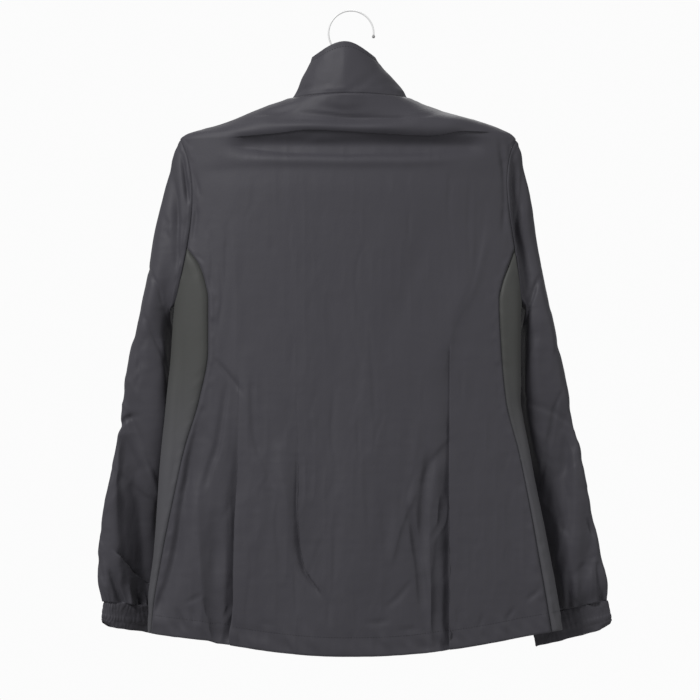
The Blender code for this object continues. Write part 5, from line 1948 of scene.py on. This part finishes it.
@dataclass
class Zip:
    """The closed zip: tape, teeth, slider, bridge and pull.

    tape: half-width of the tape; tape_flat: width and length of the tapes, in metres, not used;
    tooth: height and thickness of one tooth; pitch: from one tooth to the next; chain: how far
    the teeth stand out; clear: from them to the slider; slider: width, height and thickness;
    level: where the slider stands; pull, pull_wire: size of the pull and of its wire;
    bridge_wire: of the bridge; bridge: half its height, its reach and its foot; play: between
    bridge and pull.
    """

    tape: float = 6.2
    tape_flat: Pair = (0.0128, 0.665)
    tooth: Pair = (1.15, 1.5)
    pitch: float = 1.5
    chain: float = 0.7
    clear: float = 0.35
    slider: Triple = (8.0, 10.0, 2.6)
    level: float = -66.0
    pull: Pair = (6.4, 17.0)
    pull_wire: float = 1.3
    bridge_wire: float = 1.2
    bridge: Triple = (3.0, 2.7, 0.35)
    play: float = 0.25

    def build_tape(self, material: Material) -> Object:
        """The two tapes' visible band behind the teeth."""
        levels = level_rows(HEM, COLLAR_TOP, 4.0)
        rows = np.stack([FORM.strip(x, levels, -0.9 - 0.12 * math.cos(x * 4))
                         for x in np.linspace(-self.tape, self.tape, 9)], axis=1)
        shell = Shell(rows, np.tile([0.0, 1.0, 0.0], (*rows.shape[:2], 1)))
        item = shell.build("zip_tape_woven", material)
        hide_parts("zip_tape")
        flat_area(shell)
        return item

    def build_teeth(self, material: Material) -> Object:
        """The two meshed rows of moulded teeth."""
        tall, thick = self.tooth
        levels = np.arange(HEM + 8.5, self.level - 4.0, self.pitch)
        centre = FORM.strip(0.0, levels, 0.0)
        ahead = FORM.strip(0.0, levels, 1.0) - centre
        up = unit(np.gradient(centre, axis=0))
        vertices, faces = [], []
        outline = ((-0.5, -0.5), (-0.5, 0.36), (-0.36, 0.5), (0.36, 0.5), (0.5, 0.36),
                   (0.5, -0.5))
        for i, c in enumerate(centre):
            sign = 1 if i % 2 else -1
            out = unit(ahead[i])
            rings = [[c + np.array([sign * reach, 0, 0]) + up[i] * a * tall * scale
                      + out * (0.05 + b * thick * (0.8 + 0.2 * scale)) for a, b in outline]
                     for reach, scale in ((-0.7, 0.55), (-0.45, 0.9), (1.5, 1.0), (2.3, 1.25))]
            points, skin = loft(rings, sign < 0)
            faces += [[k + len(vertices) for k in face] for face in skin]
            vertices += list(points)
        item = make_object("zip_teeth", np.array(vertices), faces, material, smooth=False)
        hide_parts("zip_chain")
        return item

    def build_slider(self, metal: Material) -> None:
        """The slider with its bridge, and the pull that hangs from it."""
        at = np.array([self.level])
        centre = FORM.strip(0.0, at, 0.0)[0]
        up = unit(FORM.strip(0.0, at + 5, 0.0)[0] - FORM.strip(0.0, at - 5, 0.0)[0])
        out = unit(np.cross(up, np.array([1.0, 0, 0])))
        out = out if out[1] > 0 else -out
        thick = self.slider[2]
        high, reach, foot = self.bridge
        base = centre + out * (self.chain + self.clear + thick / 2)
        self.build_shell(base, up, out, metal)
        top = base + out * (thick / 2 + self.bridge_wire / 2)
        angle = np.linspace(0, math.pi, 25)
        arch = (top + up * (high * np.cos(angle))[:, None]
                + out * (foot + reach * np.sin(angle))[:, None])
        vertices, faces = wire_mesh(arch, self.bridge_wire / 2, 12)
        item = make_object("slider_bridge", vertices, faces, metal)
        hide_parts("zip_bridge")
        pivot = top + out * (reach + foot - (self.bridge_wire + self.pull_wire) / 2 - self.play)
        self.build_pull(pivot, -up, out, metal)

    def build_shell(self, base: Array, up: Array, out: Array,
                    metal: Material) -> None:
        """The slider's body: a domed shield with a waist and a rounded nose."""
        wide, tall, thick = self.slider
        right = np.array([1.0, 0.0, 0.0])
        angle = np.arange(40) * 2 * math.pi / 40
        plan_x = np.sign(np.cos(angle)) * np.abs(np.cos(angle)) ** 0.55
        plan_z = np.sign(np.sin(angle)) * np.abs(np.sin(angle)) ** 0.7
        taper = 0.84 + 0.16 * plan_z - 0.1 * bell(plan_z + 0.15, 0.35)
        layers = ((-0.5, 0.90), (-0.42, 0.985), (0.12, 1.0), (0.32, 0.93), (0.44, 0.78),
                  (0.5, 0.5))
        rings = [[base + right * x * wide / 2 * scale * t + up * z * tall / 2 * scale
                  + out * depth * thick for x, z, t in zip(plan_x, plan_z, taper)]
                 for depth, scale in layers]
        item = make_object("slider_body", *loft(rings), metal)
        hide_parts("zip_slider")

    def build_pull(self, pivot: Array, down: Array, out: Array,
                   metal: Material) -> None:
        """The pull: a rounded wire loop."""
        wide, tall = self.pull
        corner, half = 1.6, wide / 2
        loop = []
        for cx, cz, start in ((half - corner, corner, -90), (half - corner, tall - corner, 0),
                              (corner - half, tall - corner, 90), (corner - half, corner, 180)):
            for turn in np.radians(start + np.linspace(0, 90, 8)):
                loop.append(pivot + np.array([1.0, 0, 0]) * (cx + corner * math.cos(turn))
                            + down * (cz + corner * math.sin(turn)))
        vertices, faces = wire_mesh(np.array(loop), self.pull_wire / 2, 12, True)
        item = make_object("pull_loop", vertices, faces, metal, body=PULL_BODY)
        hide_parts("zip_pull")

    def build(self, tape: Material, teeth: Material,
              metal: Material) -> None:
        """Make the whole zip."""
        self.build_tape(tape)
        self.build_teeth(teeth)
        self.build_slider(metal)
        LOG.info("zip: tape, teeth, slider, bridge and pull")


@dataclass
class Hanger:
    """One bent wire with a dipped tip.

    wire: its thickness; hook: radius of the hook; start, end: of the hook's arc in degrees;
    half: half the width over the arms; drop: height of the loop at each arm's end; tip: radius
    of the dipped tip.
    """

    wire: float = 2.0
    hook: float = 26.4
    start: float = -4.0
    end: float = 211.0
    half: float = 178.0
    drop: float = 22.0
    tip: float = 1.9

    def arm(self, side: Side) -> list[Array]:
        """Points of one arm, close under the shoulder seam."""
        points = []
        for level in (-108.0, -113.0, -119.0, -126.0, -132.0, -138.0, -142.0):
            turn, height = np.array(float(side.value)), np.array(level)
            top = FORM.point(turn, height) - FORM.facing(FORM.plain, turn, height) * 3.0
            if abs(top[0]) < self.half:
                points.append(np.array([top[0], 0.0, top[2]]))
        return points

    def corner(self, side: Side, last: Array) -> list[Array]:
        """The round end of an arm, down to the bottom bar."""
        radius = self.drop / 2
        way = np.array([side.value * math.cos(math.radians(66)), 0, math.sin(math.radians(66))])
        middle = last - radius * way
        return [middle + radius * np.array([side.value * math.cos(a), 0, math.sin(a)])
                for a in np.radians((36, 6, -26, -58, -90))]

    def path(self) -> tuple[Array, Array]:
        """The wire's middle line, and the hook's end."""
        centre = np.array([0.0, 0.0, self.wire / 2 - self.hook])
        arc = np.radians(np.linspace(self.start, self.end, 49))
        points = [centre + self.hook * np.array([math.cos(a), 0, math.sin(a)]) for a in arc]
        tip = points[0]
        for x, z in ((-16.5, -45.5), (-9.0, -53.5), (-3.0, -62.5), (-0.5, -73.0), (0.0, -92.0),
                     (-4.0, -99.0), (-20.0, -105.0)):
            points.append(np.array([x, 0.0, z]))
        left, right = self.arm(Side.LEFT), self.arm(Side.RIGHT)
        points += left + self.corner(Side.LEFT, left[-1])
        points += self.corner(Side.RIGHT, right[-1])[::-1] + right[::-1]
        points += [np.array([20.0, 0.0, -105.0]), np.array([4.2, 0.0, -100.5])]
        return np.array(points), tip

    def build(self, wire: Material, dipped: Material) -> None:
        """Make the wire and its tip."""
        path, tip = self.path()
        vertices, faces = wire_mesh(round_path(path), self.wire / 2, 16)
        item = make_object("hanger_wire", vertices, faces, wire)
        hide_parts("hanger")
        middle = tip - np.array([0.0, 0.0, self.tip + 0.3])
        profile = [(0.02, 1.13), (0.44, 1.08), (0.52, 0.98), (0.60, 0.86), (0.87, 0.5),
                   (1.0, 0.0), (0.87, -0.5), (0.5, -0.87), (0.2, -0.98), (0.02, -1.0)]
        angle = np.arange(24) * math.pi / 12
        rings = [middle + self.tip * np.stack([r * np.cos(angle), r * np.sin(angle),
                                               np.full(24, z)], axis=-1) for r, z in profile]
        ball = make_object("dipped_tip", *loft(rings, flip=True), dipped)
        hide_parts("hook_tip")
        LOG.info("hanger: wire and dipped tip")


# ---- the studio


@dataclass
class Studio:
    """Plain white room with three soft lamps.

    room: strength of the even light; paper: brightness of the background; key: power of the lamp
    from above and the left of the back; fill: of the weak one from its right; far: of the one
    that lights the front; aim: what every lamp looks at; lens: focal length in millimetres;
    aside: how far the camera stands beside the middle.
    """

    room: float = 0.33
    paper: float = 0.97
    key: float = 150.0
    fill: float = 22.0
    far: float = 60.0
    aim: Triple = (0.0, 0.0, -0.4)
    lens: float = 131.87
    aside: float = -1.2

    def world(self) -> None:
        """Even light from everywhere, and a paper-white background."""
        world = bpy.data.worlds.new("Room")
        bpy.context.scene.world = world
        world.use_nodes = True
        tree = world.node_tree
        light = tree.nodes["Background"]
        light.inputs["Color"].default_value = (1.0, 1.0, 1.0, 1)
        light.inputs["Strength"].default_value = self.room
        seen = tree.nodes.new("ShaderNodeBackground")
        seen.inputs["Color"].default_value = (self.paper, self.paper, self.paper, 1)
        path = tree.nodes.new("ShaderNodeLightPath")
        either = tree.nodes.new("ShaderNodeMixShader")
        tree.links.new(path.outputs["Is Camera Ray"], either.inputs[0])
        tree.links.new(light.outputs[0], either.inputs[1])
        tree.links.new(seen.outputs[0], either.inputs[2])
        tree.links.new(either.outputs[0], tree.nodes["World Output"].inputs[0])

    def lamp(self, name: str, at: Triple, size: float,
             power: float) -> None:
        """One soft lamp that looks at the middle of the jacket."""
        data = bpy.data.lights.new(name, "AREA")
        data.shape = "SQUARE"
        data.size = size
        data.energy = power
        item = bpy.data.objects.new(name, data)
        bpy.context.scene.collection.objects.link(item)
        x, y, z = (a - b for a, b in zip(at, self.aim))
        item.location = at
        item.rotation_euler = (math.acos(z / math.sqrt(x * x + y * y + z * z)), 0.0,
                               math.atan2(y, x) + math.pi / 2)

    def camera(self) -> None:
        """The camera, square to the back."""
        data = bpy.data.cameras.new("Camera")
        data.lens = self.lens
        data.sensor_width = 36.0
        item = bpy.data.objects.new("Camera", data)
        item.location = (self.aside * MM, -VIEW_DISTANCE * MM, VIEW_HEIGHT * MM)
        item.rotation_euler = (math.pi / 2, 0.0, 0.0)
        bpy.context.scene.collection.objects.link(item)
        bpy.context.scene.camera = item

    def build(self) -> None:
        """Set up light and camera."""
        bpy.context.scene.view_settings.view_transform = "Standard"
        self.world()
        self.lamp("Key", (-2.4, -2.7, 2.4), 1.1, self.key)
        self.lamp("Fill", (2.9, -2.5, 0.3), 1.6, self.fill)
        self.lamp("Far", (0.3, 3.5, 2.8), 1.2, self.far)
        self.camera()


def main() -> None:
    """Build the dressed jacket."""
    logging.basicConfig(level=logging.INFO, format="%(name)s %(message)s")
    cloth = CRINKLED_NYLON.make()
    thread = THREAD.make()
    Body().build(cloth, SIDE_NYLON.make(), thread)
    cuff_cloth = SHIRRED_NYLON.make()
    for side in Side:
        SleeveAndCuff(side).build(cloth, cuff_cloth)
    Zip().build(ZIP_TAPE.make(), ZIP_TEETH.make(), ZIP_METAL.make())
    Hanger().build(DRAWN_WIRE.make(), DIPPED_TIP.make())
    Studio().build()
    bpy.context.view_layer.update()


if __name__ == "__main__":
    main()
